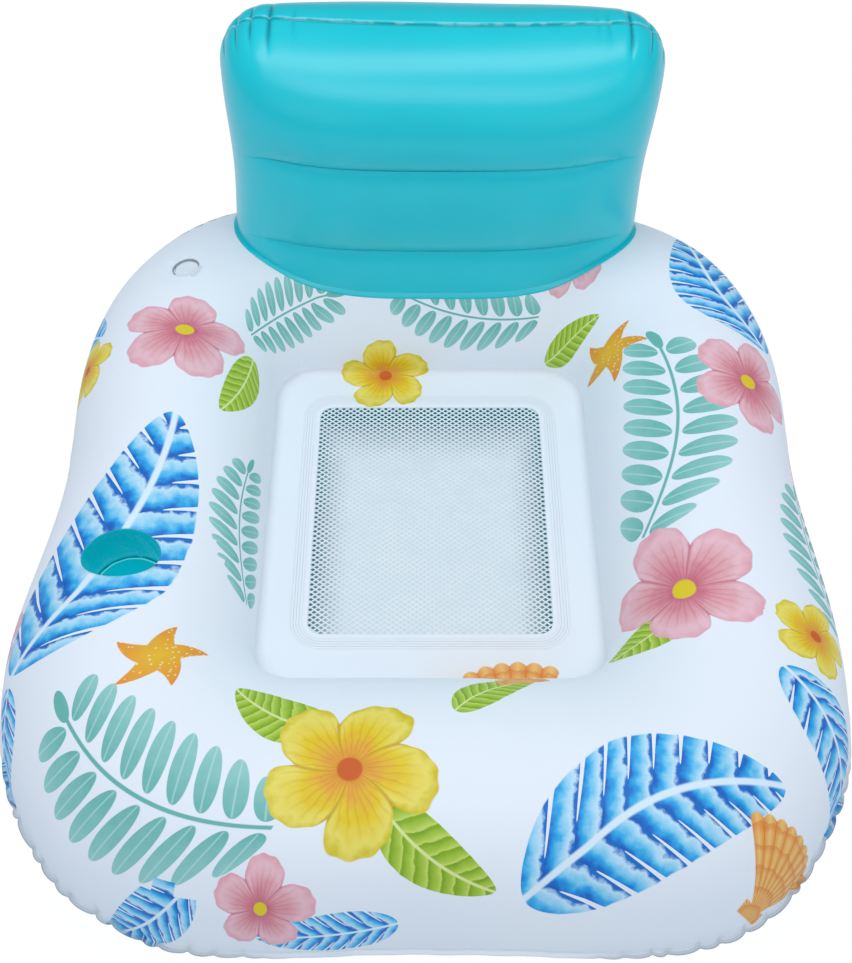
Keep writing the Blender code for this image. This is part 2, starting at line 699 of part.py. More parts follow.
def valve(prefix, host, host_part, place, outward, hinge_side):
    """A valve under a sheet: recessed body, cap on a hinge web, and non-return flap."""
    seat, normal = host.seat(place, outward)
    across = (hinge_side - normal * hinge_side.dot(normal)).normalized()
    frame = Matrix.Identity(4)
    frame.col[0][:3], frame.col[1][:3], frame.col[2][:3] = across, normal.cross(across), normal
    frame.translation = seat
    floor = -VALVE_RECESS_DEPTH
    outer = VALVE_RECESS_RADIUS + VALVE_WALL
    bottom = floor - VALVE_FLOOR - THROAT_LENGTH
    body = turned(prefix + "_valve_body", [
        (VALVE_RECESS_RADIUS, OVERRUN / 4), (outer, OVERRUN / 4), (outer, floor - VALVE_FLOOR),
        (THROAT_RADIUS + THROAT_WALL, floor - VALVE_FLOOR), (THROAT_RADIUS + THROAT_WALL, bottom),
        (THROAT_RADIUS, bottom), (THROAT_RADIUS, floor), (VALVE_RECESS_RADIUS, floor)], frame, "valve")
    hole = prism(lambda points, faces: cutter(prefix + "_valve_hole", points, faces),
                 oval(VALVE_RECESS_RADIUS, VALVE_RECESS_RADIUS, ROUND_STEPS), -OVERRUN / 2, OVERRUN / 2,
                 place=frame)
    boolean(host_part, hole)
    patch = host.near(seat, FITTING_REACH)
    collar = patch.offset(-GAP).open_part(prefix + "_valve_collar", "valve")
    thicken(collar, -COLLAR_THICKNESS)
    ring_in = VALVE_RECESS_RADIUS + VALVE_WALL / 2
    ring_out = VALVE_RECESS_RADIUS + VALVE_COLLAR
    trim = prism(lambda points, faces: cutter(prefix + "_collar_trim", points, faces),
                 oval(ring_out, ring_out, ROUND_STEPS), -OVERRUN / 2, OVERRUN / 2,
                 hole=oval(ring_in, ring_in, ROUND_STEPS), place=frame)
    boolean(collar, trim, "INTERSECT")
    above = patch.offset(-GAP - COLLAR_THICKNESS / 2).slab(prefix + "_above_collar", normal * OVERRUN)
    join_under(body, collar, above)
    cap_top = -CAP_SUNK
    plug = THROAT_RADIUS - PLUG_CLEARANCE
    hinge_x = CAP_FLAT + GAP + WEB_LENGTH / 2
    cap_place = frame @ Matrix.Translation((hinge_x, 0, cap_top))
    shoulder = floor - PLUG_STRAIGHT - cap_top
    cap = turned(prefix + "_valve_cap", [
        (0, 0), (CAP_RADIUS, 0), (CAP_RADIUS, -CAP_THICKNESS), (plug, -CAP_THICKNESS), (plug, shoulder),
        (plug - PLUG_TAPER, shoulder - PLUG_TAPER_LENGTH), (0, shoulder - PLUG_TAPER_LENGTH)],
        cap_place, "valve")
    move_turned(cap, -hinge_x)
    flat = prism(lambda points, faces: cutter(prefix + "_cap_flat", points, faces),
                 [(CAP_FLAT, -CAP_RADIUS), (CAP_RADIUS + OVERRUN, -CAP_RADIUS),
                  (CAP_RADIUS + OVERRUN, CAP_RADIUS), (CAP_FLAT, CAP_RADIUS)],
                 -CAP_RADIUS, CAP_RADIUS, place=frame)
    boolean(cap, flat)
    web_in, web_out = CAP_FLAT + GAP, CAP_FLAT + GAP + WEB_LENGTH
    half = WEB_WIDTH / 2
    prism(lambda points, faces: part(prefix + "_valve_web", points, faces, "valve"),
          [(web_in, -half), (web_out, -half), (web_out, half), (web_in, half)],
          cap_top - WEB_THICKNESS, cap_top, place=frame)
    flap_top = bottom - GAP
    flap_place = frame @ Matrix.Translation((-FLAP_RADIUS, 0, flap_top))
    flap = turned(prefix + "_valve_flap", [(0, 0), (FLAP_RADIUS, 0), (FLAP_RADIUS, -FLAP_THICKNESS),
                                           (0, -FLAP_THICKNESS)], flap_place, "valve")
    move_turned(flap, FLAP_RADIUS)


def move_turned(item, shift):
    """Slide a turned piece along its own X, so that its origin lies on the hinge axis."""
    spun = bpy.data.meshes.new_from_object(item.evaluated_get(bpy.context.evaluated_depsgraph_get()))
    spun.transform(Matrix.Translation((shift, 0, 0)))
    item.modifiers.clear()
    item.data = spun


def place_on_floor(items):
    """Move the whole chair so that the origin lies under the middle of its box, on the floor."""
    graph = bpy.context.evaluated_depsgraph_get()
    corners = [item.evaluated_get(graph).matrix_world @ Vector(corner)
               for item in items for corner in item.evaluated_get(graph).bound_box]
    low = [min(corner[k] for corner in corners) for k in range(3)]
    high = [max(corner[k] for corner in corners) for k in range(3)]
    frame = bpy.data.objects.new("chair_frame", None)
    PARTS.objects.link(frame)
    for item in list(PARTS.objects) + list(CUTTERS.objects):
        if item is not frame:
            item.parent = frame
    frame.location = (-(low[0] + high[0]) / 2, -(low[1] + high[1]) / 2, -low[2])


def build():
    ring_top, top = ring()
    seat_net()
    weld_band()
    rear, rear_part = backrest(ring_top)
    cup(ring_top, top)
    valve("base", ring_top, top, Vector((BASE_VALVE_X, BASE_VALVE_Y, SEAM_HEIGHT)),
          Vector((0, 0, 1)), Vector((-1, 0, 0)))
    valve("backrest", rear, rear_part, Vector((BACK_VALVE_X, BACK_SEAM_Y, SEAM_HEIGHT + BACK_VALVE_HEIGHT)),
          Vector((0, 1, 0)), Vector((0, 0, -1)))
    bpy.context.view_layer.update()
    place_on_floor([item for item in PARTS.objects if item.type == "MESH"])


build()
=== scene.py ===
import math
from contextlib import contextmanager

import bmesh
import bpy
import numpy as np
from mathutils import Matrix, Vector
from mathutils.bvhtree import BVHTree


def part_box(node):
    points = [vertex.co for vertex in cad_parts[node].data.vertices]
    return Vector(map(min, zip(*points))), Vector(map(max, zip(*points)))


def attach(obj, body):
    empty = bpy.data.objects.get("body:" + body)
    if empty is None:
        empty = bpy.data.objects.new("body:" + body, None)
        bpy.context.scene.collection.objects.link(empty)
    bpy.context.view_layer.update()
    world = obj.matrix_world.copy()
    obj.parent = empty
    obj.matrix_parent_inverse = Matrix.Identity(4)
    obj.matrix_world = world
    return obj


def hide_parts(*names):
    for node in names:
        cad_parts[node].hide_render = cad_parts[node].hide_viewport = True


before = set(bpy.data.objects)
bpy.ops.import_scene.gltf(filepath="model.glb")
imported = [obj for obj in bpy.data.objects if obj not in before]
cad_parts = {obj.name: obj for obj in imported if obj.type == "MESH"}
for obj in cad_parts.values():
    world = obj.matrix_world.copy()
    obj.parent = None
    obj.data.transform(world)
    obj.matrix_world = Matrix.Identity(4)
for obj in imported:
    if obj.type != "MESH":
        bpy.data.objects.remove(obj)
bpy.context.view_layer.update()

MM = 0.001

# Sizes of the chair. Those of the backrest, the cup and the seam's swells were fitted to the photograph once more
# after the solids, and differ from theirs by up to 13 mm.
SHEET = 0.4 * MM
GAP = 0.3 * MM
BASE_WIDTH, BASE_LENGTH = 947 * MM, 1066 * MM
FRONT_SQUARENESS, REAR_SQUARENESS = 4.0, 3.55
WAIST_DEPTH, WAIST_CENTRE_Y, WAIST_SPREAD = 17.3 * MM, 36 * MM, 152 * MM
SEAM_HEIGHT = 122 * MM
SIDE_RISE, FRONT_RISE = 130 * MM, 138 * MM
FRONT_CREST_SHIFT = 18 * MM
WELL_WIDTH, WELL_LENGTH, WELL_CENTRE_Y, WELL_CORNER = 410 * MM, 496 * MM, 13 * MM, 55 * MM
WINDOW_WIDTH, WINDOW_LENGTH, WINDOW_CENTRE_Y, WINDOW_CORNER = 290 * MM, 352 * MM, 16 * MM, 17 * MM
NET_THICKNESS = 0.5 * MM
WELD_FLANGE = 6 * MM
BACK_HALF_WIDTH, BACK_PINCH, BACK_SHIFT = 278.5 * MM, 10 * MM, 5 * MM
BACK_TOP, BACK_FOOT, UPPER_CREASE, LOWER_CREASE = 407 * MM, 50 * MM, 283 * MM, 158 * MM
BACK_CORNER, BACK_SEAM_Y, BACK_LEAN, BACK_SWAY = 60 * MM, 443 * MM, 18 * MM, 13 * MM
FRONT_DEPTH, REAR_DEPTH, FRONT_FOOT_DEPTH, REAR_FOOT_DEPTH = 121 * MM, 104 * MM, 127 * MM, 54 * MM
LOBE_DEPTH, PLAN_ROUNDNESS, TOP_ROUNDNESS, TOP_SWELL_FADE = 13 * MM, 3.0, 2.4, 6
BACK_FLANGE = 0.5 * MM         # narrower than in the solids, as in the photograph
BACK_FOOT_TAPER = 7 * MM
CREASE_FADE_SHARES = (0.72, 0.96)
FOOT_LIP = 6 * MM
CUP_X, CUP_Y, CUP_DEPTH, CUP_NECK = -345 * MM, -133 * MM, 73 * MM, 6 * MM
CUP_MOUTH, CUP_FLOOR_RADIUS, CUP_FLOOR_CROWN = (45 * MM, 32.5 * MM), 45 * MM, 7 * MM
VALVE_RECESS_RADIUS = 18.5 * MM
BASE_VALVE_SEAT = (-323.01 * MM, 327.99 * MM, 248.66 * MM)
BACK_VALVE_SEAT = (144.94 * MM, 558.28 * MM, 320.37 * MM)

# The ring's middle in the frame, on the floor
ring_low, ring_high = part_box("base_top_sheet")
CENTRE = Vector(((ring_low[0] + ring_high[0]) / 2, (ring_low[1] + ring_high[1]) / 2, 0))
PLAN_CENTRE = np.array(CENTRE[:2])

# Where the soft ring's seam swells out or is drawn in: place, amount and spread, in millimetres
SEAM_SWELLS = (
    (-470, -238, 12.8, 137), (0, -533, -5, 120), (-270, -525, 5, 90), (270, -525, 6, 90), (-410, -430, -4, 60),
    (420, -430, -9, 80), (-330, -510, -5, 50), (-300, 505, 10, 110), (330, 500, -5, 110))

# Motifs on the printed sheet: kind, place on the flat sheet and half size in millimetres, turn in degrees and
# bend in percent. Each face of the sheet shows the nearest leaf and, over it, the nearest bloom.
BLUE_LEAF, LIME_LEAF, SPRIG = 0, 1, 2
LEAVES = (
    (BLUE_LEAF, 232, -498, 172, 24, 10), (BLUE_LEAF, -425, -120, 195, 66, -10), (SPRIG, -330, -480, 185, 148, 16),
    (SPRIG, 372, 60, 165, 82, -14), (BLUE_LEAF, 440, 345, 150, 112, 10), (SPRIG, -215, 340, 110, 32, 12),
    (LIME_LEAF, -170, -400, 75, 152, 8), (LIME_LEAF, -2, -556, 72, -38, -8), (LIME_LEAF, 295, -245, 70, 205, 8),
    (BLUE_LEAF, 510, -400, 120, -62, 8), (SPRIG, 530, -100, 115, 96, 12), (LIME_LEAF, -300, 150, 60, 250, 6),
    (BLUE_LEAF, -105, -650, 75, 188, 6), (BLUE_LEAF, -325, -625, 95, 206, 8), (SPRIG, -280, -50, 105, 96, 12),
    (LIME_LEAF, 62, -352, 56, 40, 8), (SPRIG, 40, 345, 110, 168, 10), (BLUE_LEAF, -565, -395, 100, 250, 8),
    (LIME_LEAF, 212, 300, 60, 20, 6), (BLUE_LEAF, -570, 315, 90, 120, 8), (BLUE_LEAF, 0, 600, 100, 5, 8),
    (SPRIG, 330, 570, 120, 150, 10), (SPRIG, -330, 580, 120, 30, 10))
PINK_FLOWER, YELLOW_FLOWER, SHELL, STARFISH = 0, 1, 2, 3
BLOOMS = (
    (YELLOW_FLOWER, -80, -470, 94, 12, 0), (PINK_FLOWER, 350, -175, 98, 40, 0), (PINK_FLOWER, -385, 215, 88, 8, 0),
    (STARFISH, 292, 222, 60, 14, 0), (SHELL, 80, -262, 82, 18, 0), (YELLOW_FLOWER, -60, 250, 64, 50, 0),
    (PINK_FLOWER, 472, 135, 80, 64, 0), (STARFISH, -345, -300, 58, 40, 0), (SHELL, 405, -560, 78, -30, 0),
    (YELLOW_FLOWER, 495, -240, 62, 20, 0), (PINK_FLOWER, -170, -610, 62, 80, 0), (PINK_FLOWER, 210, 430, 75, 20, 0),
    (YELLOW_FLOWER, -535, 190, 56, 35, 0), (STARFISH, -240, 480, 60, 70, 0), (SHELL, 590, 40, 56, 80, 0),
    (PINK_FLOWER, -600, -200, 60, 15, 0))


class Wire:
    """A node's output. Arithmetic on wires adds Math nodes to the same tree."""

    def __init__(self, tree, socket):
        self.tree, self.socket = tree, socket

    def output(self, name):
        return Wire(self.tree, self.socket.node.outputs[name])

    def math(self, operation, *others):
        return put(self.tree, "ShaderNodeMath", {"operation": operation}, dict(enumerate((self,) + others)))

    def turned(self, operation, other):
        """The same with the other value first."""
        return put(self.tree, "ShaderNodeMath", {"operation": operation}, {0: other, 1: self})

    def __add__(self, other):
        return self.math("ADD", other)

    __radd__ = __add__

    def __sub__(self, other):
        return self.math("SUBTRACT", other)

    def __rsub__(self, other):
        return self.turned("SUBTRACT", other)

    def __mul__(self, other):
        return self.math("MULTIPLY", other)

    __rmul__ = __mul__

    def __truediv__(self, other):
        return self.math("DIVIDE", other)

    def __rtruediv__(self, other):
        return self.turned("DIVIDE", other)

    def __pow__(self, other):
        return self.math("POWER", other)

    def __abs__(self):
        return self.math("ABSOLUTE")

    def most(self, other):
        return self.math("MAXIMUM", other)

    def least(self, other):
        return self.math("MINIMUM", other)

    def fold(self, scale):
        return self.math("PINGPONG", scale)

    def part_of(self):
        return self.math("FRACT")

    def rise(self, low, high):
        """0 at low, 1 at high and smooth between; high may be the lower one."""
        return put(self.tree, "ShaderNodeMapRange", {"interpolation_type": "SMOOTHSTEP"},
                   {"Value": self, "From Min": low, "From Max": high})

    def blended(self, first, second):
        """A number between two others, with this value as the share of the second."""
        return put(self.tree, "ShaderNodeMix", {"data_type": "FLOAT"}, {0: self, 2: first, 3: second})

    def tinted(self, first, second):
        """A colour between two others, with this value as the share of the second."""
        return put(self.tree, "ShaderNodeMix", {"data_type": "RGBA"}, {0: self, 6: first, 7: second}, 2)

    def ramp(self, *stops):
        """A colour from a ramp of (position, colour) stops."""
        return put(self.tree, "ShaderNodeValToRGB", {"stops": stops}, {"Fac": self})

    def noise(self, scale, detail=2.0):
        return put(self.tree, "ShaderNodeTexNoise", {}, {"Vector": self, "Scale": scale, "Detail": detail})


def put(tree, kind, settings=None, sockets=None, output=0):
    """The one way that a node is made: its settings first, then the values or links of its sockets."""
    node = tree.nodes.new(kind)
    for name, value in (settings or {}).items():
        if name == "stops":
            ramp = node.color_ramp
            while len(ramp.elements) < len(value):
                ramp.elements.new(0.5)
            for element, (position, colour) in zip(ramp.elements, value):
                element.position = position
                element.color = rgba(colour)
        else:
            setattr(node, name, value)
    for name, value in (sockets or {}).items():
        socket = node.inputs[name]
        if isinstance(value, Wire):
            tree.links.new(value.socket, socket)
        else:
            socket.default_value = rgba(value) if socket.type == "RGBA" else value
    return Wire(tree, node.outputs[output])


def rgba(colour):
    """A colour as the shader's linear values, from those or from six hex digits."""
    if isinstance(colour, str):
        shares = [int(colour[k:k + 2], 16) / 255 for k in (0, 2, 4)]
        colour = [v / 12.92 if v <= 0.04045 else ((v + 0.055) / 1.055) ** 2.4 for v in shares]
    return (*colour, 1)


class Finish:
    """A material under construction, with its Principled shader."""

    def __init__(self, name, **constants):
        self.material = bpy.data.materials.new(name)
        self.material.use_nodes = True
        self.tree = self.material.node_tree
        self.shader = self.tree.nodes["Principled BSDF"]
        for socket, value in constants.items():
            self.shader.inputs[socket.replace("_", " ")].default_value = value

    def place(self):
        """Object coordinates, in metres."""
        return put(self.tree, "ShaderNodeTexCoord").output("Object")

    def numbers(self, vector):
        """The three coordinates of a vector."""
        split = put(self.tree, "ShaderNodeSeparateXYZ", {}, {0: vector})
        return [split.output(axis) for axis in "XYZ"]

    def axes(self):
        """The three object coordinates as numbers."""
        return self.numbers(self.place())

    def map(self, name):
        """The two coordinates of a UV map."""
        return self.numbers(put(self.tree, "ShaderNodeUVMap", {"uv_map": name}))[:2]

    def mark(self, name):
        """A number kept on the mesh."""
        return put(self.tree, "ShaderNodeAttribute", {"attribute_name": name}).output("Fac")

    def link(self, socket, wire):
        self.tree.links.new(wire.socket, self.shader.inputs[socket])

    def bump(self, height, distance):
        self.link("Normal", put(self.tree, "ShaderNodeBump", {},
                                {"Height": height, "Distance": distance, "Strength": 1.0}))


# Camera, light and floor

# Fitted to the photograph: the camera's place from the ring's middle, its tilt off straight down, and its focal
# length as a share of the image's height
CAMERA_PLACE, CAMERA_TILT, FOCAL_SHARE = (-0.005, -0.987, 1.472), 38, 1340 / 963
SENSOR_WIDTH = 36
# Area lamps: place, the point that they face, width and height in metres, watts
LAMPS = {
    "main_softbox": ((0.0, -0.55, 2.4), (0, 0.1, 0.2), (2.2, 0.8), 9.5),
    "left_softbox": ((-1.3, -2.2, 1.7), (0, 0.3, 0.2), (1.8, 1.2), 2.5),
    "strip_softbox": ((-0.1, 0.66, 2.3), (0, 0.4, 0.4), (2.2, 0.6), 11.5),
    "right_softbox": ((1.4, -2.1, 1.7), (0, 0.3, 0.2), (1.8, 1.2), 2.5),
    "side_softbox": ((2.4, -0.4, 1.4), (0, 0.1, 0.2), (1.4, 1.4), 2)}
SKY, SKY_LIGHT, SKY_IN_GLOSS, SKY_SEEN = "D9E4F1", 0.74, 0.10, 1.03
FLOOR_RADIUS, FLOOR_GLOW, FLOOR_GLOW_SHARE = 9, 1.05, 0.92


def floor_finish():
    """White floor, evenly bright to the camera. Under the chair, what is seen of it through the net carries painted
    shade, from light blue-grey in the middle to a dark teal like the lower sheet's towards the sides and the back.
    """
    finish = Finish("studio_floor", Roughness=0.9)
    tree = finish.tree
    finish.shader.inputs["Base Color"].default_value = (0.86, 0.88, 0.9, 1)
    x, y, _ = finish.axes()
    # Painted shade under the chair, as seen through the net: dark teal towards the sides and the back
    under = abs(x - CENTRE.x).rise(0.105, 0.165).most((y - CENTRE.y).rise(0.19, 0.285))
    inside = abs(x - CENTRE.x).rise(0.24, 0.20) * abs(y - CENTRE.y - 0.1).rise(0.26, 0.22)
    shade = under.tinted((0.62, 0.74, 0.82), (0.0, 0.10, 0.13))
    glow = put(tree, "ShaderNodeEmission", {}, {"Color": inside.tinted((1, 1, 1), shade), "Strength": FLOOR_GLOW})
    share = put(tree, "ShaderNodeLightPath").output("Is Camera Ray") * FLOOR_GLOW_SHARE
    mixed = put(tree, "ShaderNodeMixShader", {}, {0: share, 1: Wire(tree, finish.shader.outputs[0]), 2: glow})
    tree.links.new(mixed.socket, tree.nodes["Material Output"].inputs["Surface"])
    return finish.material


def set_stage():
    scene = bpy.context.scene
    camera = bpy.data.cameras.new("camera")
    camera.sensor_width = SENSOR_WIDTH
    camera.lens = FOCAL_SHARE * SENSOR_WIDTH
    scene.camera = placed("camera", camera)
    scene.camera.location = CENTRE + Vector(CAMERA_PLACE)
    scene.camera.rotation_euler = (math.radians(CAMERA_TILT), 0, 0)

    for name, (spot, aim, size, power) in LAMPS.items():
        lamp = bpy.data.lights.new(name, "AREA")
        lamp.shape = "RECTANGLE"
        lamp.size, lamp.size_y = size
        lamp.energy = power
        held = placed(name, lamp)
        held.location = spot
        held.rotation_euler = (Vector(aim) - Vector(spot)).to_track_quat("-Z", "Y").to_euler()

    world = bpy.data.worlds.new("studio")
    scene.world = world
    world.use_nodes = True
    tree = world.node_tree
    background = tree.nodes["Background"]
    path = put(tree, "ShaderNodeLightPath")
    seen = path.output("Is Camera Ray").most(path.output("Is Transmission Ray"))
    tree.links.new(seen.tinted(SKY, (1, 1, 1)).socket, background.inputs["Color"])
    strength = path.output("Is Glossy Ray").blended(SKY_LIGHT, SKY_IN_GLOSS)
    tree.links.new(seen.blended(strength, SKY_SEEN).socket, background.inputs["Strength"])
    scene.view_settings.view_transform = "Standard"

    mesh = bpy.data.meshes.new("floor")
    with edited(mesh) as shape:
        bmesh.ops.create_circle(shape, cap_ends=True, segments=96, radius=FLOOR_RADIUS)
    mesh.materials.append(floor_finish())
    placed("floor", mesh)


# Finishes

def leaf_motifs(finish, brush):
    """Blue banana leaves, lime leaves and round-leaved sprigs: their cover and colour.

    x runs along the stalk from -1 to 1 and y across it.
    """
    x, y = finish.map("leaves")
    kind = finish.mark("leaf_kind")
    is_lime = kind.rise(0.4, 0.6)
    aside = abs(y)
    half = (1 - x * x).most(0.0) ** 0.6 * (0.42 - x * 0.10)
    out = aside / half.most(0.004)
    vein = x * 4.6 - aside * 3.4
    stripe = vein.part_of()
    torn = abs(stripe - 0.5).rise(0.40, 0.49) * (1 - is_lime)
    plain = (1 - torn * 0.6 - out + brush * 0.06).rise(0.0, 0.03) * abs(x).rise(1.0, 0.985)
    stroke = (stripe + brush * 0.75 + aside * 0.35).least(1.0).most(0.0)
    blue = stroke.ramp((0.0, "1262C0"), (0.13, "1673CC"), (0.24, "2496E4"), (0.38, "35B6EE"), (0.58, "8FD6F6"),
                       (0.84, "C8EAFB"), (0.97, "1673CC"))
    lime = stroke.ramp((0.0, "7FA820"), (0.3, "9CC034"), (0.7, "B4D24C"), (0.92, "CBE070"), (1.0, "8EB300"))
    colour = is_lime.tinted(blue, lime)
    colour = aside.rise(0.030, 0.012).tinted(colour, is_lime.tinted("E4F4FD", "E3EDA0"))

    # Sprig: pairs of slanted oval leaflets, one at the tip, on a thin stem
    taper = (1 - x * x).most(0.0) ** 0.5
    step = x * 5.0 - aside * 2.0
    cell = step.part_of() - 0.5
    reached = (aside - 0.03) / (taper * 0.40 + 0.02)
    whole = abs(step - cell + 0.5).rise(4.4, 4.2)
    leaflet = (reached * (1 - reached) * 0.72 - cell * cell).rise(0.0, 0.02) * whole
    tip = (1 - ((x - 0.86) / 0.12) ** 2 - (y / 0.05) ** 2).rise(0.0, 0.1)
    stem = aside.rise(0.016, 0.008) * abs(x + 0.08).rise(0.87, 0.86)
    sprig = leaflet.most(tip).most(stem)
    teal = (reached + brush * 0.6).tinted("6DBBB2", "9AD3CD")
    midrib = abs(cell).rise(0.05, 0.02) * aside.rise(0.03, 0.05) * 0.5
    teal = midrib.tinted(teal, "C4E6E2")
    is_sprig = kind.rise(1.4, 1.6)
    return is_sprig.blended(plain, sprig), is_sprig.tinted(colour, teal)


def bloom_motifs(finish, brush):
    """Pink and yellow five-petalled flowers, orange shells and starfish: their cover and colour."""
    x, y = finish.map("blooms")
    kind = finish.mark("bloom_kind")
    is_yellow, is_shell, is_star = kind.rise(0.4, 0.6), kind.rise(1.4, 1.6), kind.rise(2.4, 2.6)
    radius = (x * x + y * y) ** 0.5
    angle = y.math("ARCTAN2", x)
    fifth = math.pi / 5
    swirl = (angle + radius * is_yellow * 0.5).fold(fifth)
    edge = 0.96 - (swirl / fifth) ** 2.6 * 0.36 + (angle * 24).math("SINE") * 0.012
    flower = (edge - radius).rise(0.0, 0.025)
    depth = (radius / edge + brush * 0.35).least(1.0).most(0.0)
    pink = depth.ramp((0.0, "B8455E"), (0.2, "D8798A"), (0.5, "E9A3AB"), (0.82, "F3C4CC"), (1.0, "EBA9B4"))
    yellow = depth.ramp((0.0, "E08A1E"), (0.28, "F0A93A"), (0.55, "EFD023"), (0.85, "F3E36A"), (1.0, "DCC508"))
    petal = is_yellow.tinted(pink, yellow)
    line = is_yellow.tinted("C9607A", "C99A10")
    veins = (angle * 34 + brush * 5).math("SINE").rise(0.35, 1.0) * radius.rise(0.92, 0.25) * 0.4
    petal = veins.most((swirl / fifth).rise(0.88, 1.0) * 0.75).tinted(petal, line)
    petal = radius.rise(0.15, 0.12).tinted(petal, is_yellow.tinted("E8D020", "D8601E"))

    # Shell: a ribbed fan from a point below, with two small ears beside it
    up = y + 0.86
    far = (x * x + up * up) ** 0.5
    fan = x.math("ARCTAN2", up)
    rib = (fan * 6.5).fold(0.5) * 2
    ears = abs(x).rise(0.36, 0.34) * up.rise(-0.02, 0.0) * up.rise(0.26, 0.22)
    shell = ((1.62 - rib * rib * 0.07 - far).rise(0.0, 0.03) * abs(fan).rise(0.70, 0.68)).most(ears)
    bands = (far * 3.4 + brush * 0.7).part_of().rise(0.55, 0.95) * 0.5
    orange = (rib + brush * 0.4).tinted("F7C978", "EF9A3C")
    orange = bands.most(rib.rise(0.9, 1.0)).tinted(orange, "E2792B")

    # Starfish: five tapering arms with pale dots
    limb, side = radius * swirl.math("COSINE"), radius * swirl.math("SINE")
    star = (0.37 * (1 - limb).most(0.0) ** 0.7 - side).rise(0.0, 0.03)
    dots = put(finish.tree, "ShaderNodeTexVoronoi", {}, {
        "Vector": put(finish.tree, "ShaderNodeCombineXYZ", {}, {0: x, 1: y}), "Scale": 9.0})
    gold = (radius + brush * 0.5).tinted("EFC02A", "EE9232")
    gold = (dots.rise(0.26, 0.20) * 0.8).tinted(gold, "FBE9B0")

    cover = is_star.blended(is_shell.blended(flower, shell), star)
    return cover, is_star.tinted(is_shell.tinted(petal, orange), gold)


def weld_lines(finish):
    """Fine raised lines of the weld on the flat border round the net window."""
    x, y, z = finish.axes()
    beside = abs(x - CENTRE.x) - (WINDOW_WIDTH / 2 - WINDOW_CORNER)
    beyond = abs(y - (CENTRE.y + WINDOW_CENTRE_Y)) - (WINDOW_LENGTH / 2 - WINDOW_CORNER)
    a, b = beside.most(0.0), beyond.most(0.0)
    distance = (a * a + b * b) ** 0.5 + beside.most(beyond).least(0.0) - WINDOW_CORNER
    lines = ((distance / (3.4 * MM)).part_of() - 0.5) ** 2
    inside = distance.rise(5 * MM, 8 * MM) * distance.rise(23 * MM, 19 * MM)
    return (lines * 4).rise(1.0, 0.5) * inside * z.rise(SEAM_HEIGHT + 6 * MM, SEAM_HEIGHT + 3 * MM)


def film_relief(finish):
    """The film's own slight unevenness and fine grain."""
    place = finish.place()
    return place.noise(16.0, 2.0) * 1.0 + place.noise(70.0, 2.0) * 0.12 + place.noise(900.0, 1.0) * 0.02


def uneven_gloss(finish, scale, share, least):
    """A roughness that varies a little from least upwards."""
    finish.link("Roughness", finish.place().noise(scale) * share + least)


def printed_finish():
    finish = Finish("printed_white_film", Specular_IOR_Level=0.35)
    brush = finish.place().noise(70.0, 3.0) - 0.5
    white = finish.place().noise(5.0).tinted("EDF3FA", "F4F8FC")
    leaf_cover, leaf_colour = leaf_motifs(finish, brush)
    bloom_cover, bloom_colour = bloom_motifs(finish, brush)
    colour = leaf_cover.tinted(white, leaf_colour)
    colour = bloom_cover.tinted(colour, bloom_colour)
    # Painted shade on the weld flange: grey-blue, strongest at its outer edge and where the film is gathered at the
    # corners
    weld = finish.mark("seam").rise(0.0, 0.5) * 0.4 + finish.mark("seam").rise(0.75, 1.0) * 0.4
    finish.link("Base Color", weld.tinted(colour, "7E939E"))
    uneven_gloss(finish, 40.0, 0.12, 0.42)
    finish.bump(film_relief(finish) + weld_lines(finish) * 0.35, 1.2 * MM)
    return finish.material


def teal_finish():
    """Glossy teal film, with painted shade, dark teal, in the pleats and a painted highlight of light teal dashes
    along the backrest's weld.
    """
    finish = Finish("teal_film", Specular_IOR_Level=0.2, Coat_Weight=1.0, Coat_Roughness=0.31)
    colour = finish.place().noise(7.0, 2.0).tinted((0.0, 0.585, 0.68), (0.0, 0.66, 0.74))
    # Painted shade in the pleats: dark teal by their depth
    colour = (finish.mark("fold").rise(0.1, 1.0) * 0.85).tinted(colour, (0.0, 0.27, 0.36))
    # Painted highlight: light teal dashes on the weld flange, for its glints
    painted_weld_glints = finish.place().noise(60.0, 1.0).rise(0.42, 0.56) * finish.mark("seam").rise(0.3, 0.9) * 0.7
    finish.link("Base Color", painted_weld_glints.tinted(colour, (0.32, 0.86, 0.92)))
    uneven_gloss(finish, 50.0, 0.12, 0.26)
    finish.bump(film_relief(finish), 1.0 * MM)
    return finish.material


def cup_finish():
    """Thin teal film that glows a little: painted light for the light through it from outside. The back of the
    floor's weld carries a pale painted highlight.
    """
    finish = Finish("cup_film", Coat_Weight=0.4, Coat_Roughness=0.12, Emission_Strength=0.8)
    place = finish.place()
    x, y, z = finish.axes()
    x, y = x - CENTRE.x - CUP_X, y - CENTRE.y - CUP_Y
    radius = (x * x + y * y) ** 0.5
    weld = abs(radius - CUP_FLOOR_RADIUS * CUP_WELD_SHARE).rise(1.6 * MM, 0.4 * MM)
    low = z.rise(SEAM_HEIGHT + 73 * MM, SEAM_HEIGHT + 70 * MM)
    # Painted highlight: a pale line along the back of the floor's weld
    pale = weld * low * y.rise(0.0, 12 * MM)
    film = place.noise(22.0, 3.0).tinted((0.0, 0.40, 0.45), (0.0, 0.50, 0.54))
    finish.link("Base Color", pale.tinted(film, (0.12, 0.62, 0.64)))
    # Painted glow, at Emission Strength 0.8: brightest low in the well, dimmer towards the mouth
    depth = z.rise(SEAM_HEIGHT + 55 * MM, SEAM_HEIGHT + 125 * MM)
    lit = depth.tinted((0.0, 0.20, 0.25), (0.0, 0.12, 0.16))
    finish.link("Emission Color", pale.tinted(lit, (0.16, 0.42, 0.44)))
    uneven_gloss(finish, 90.0, 0.15, 0.2)
    finish.bump(place.noise(60.0, 2.0), 0.8 * MM)
    return finish.material


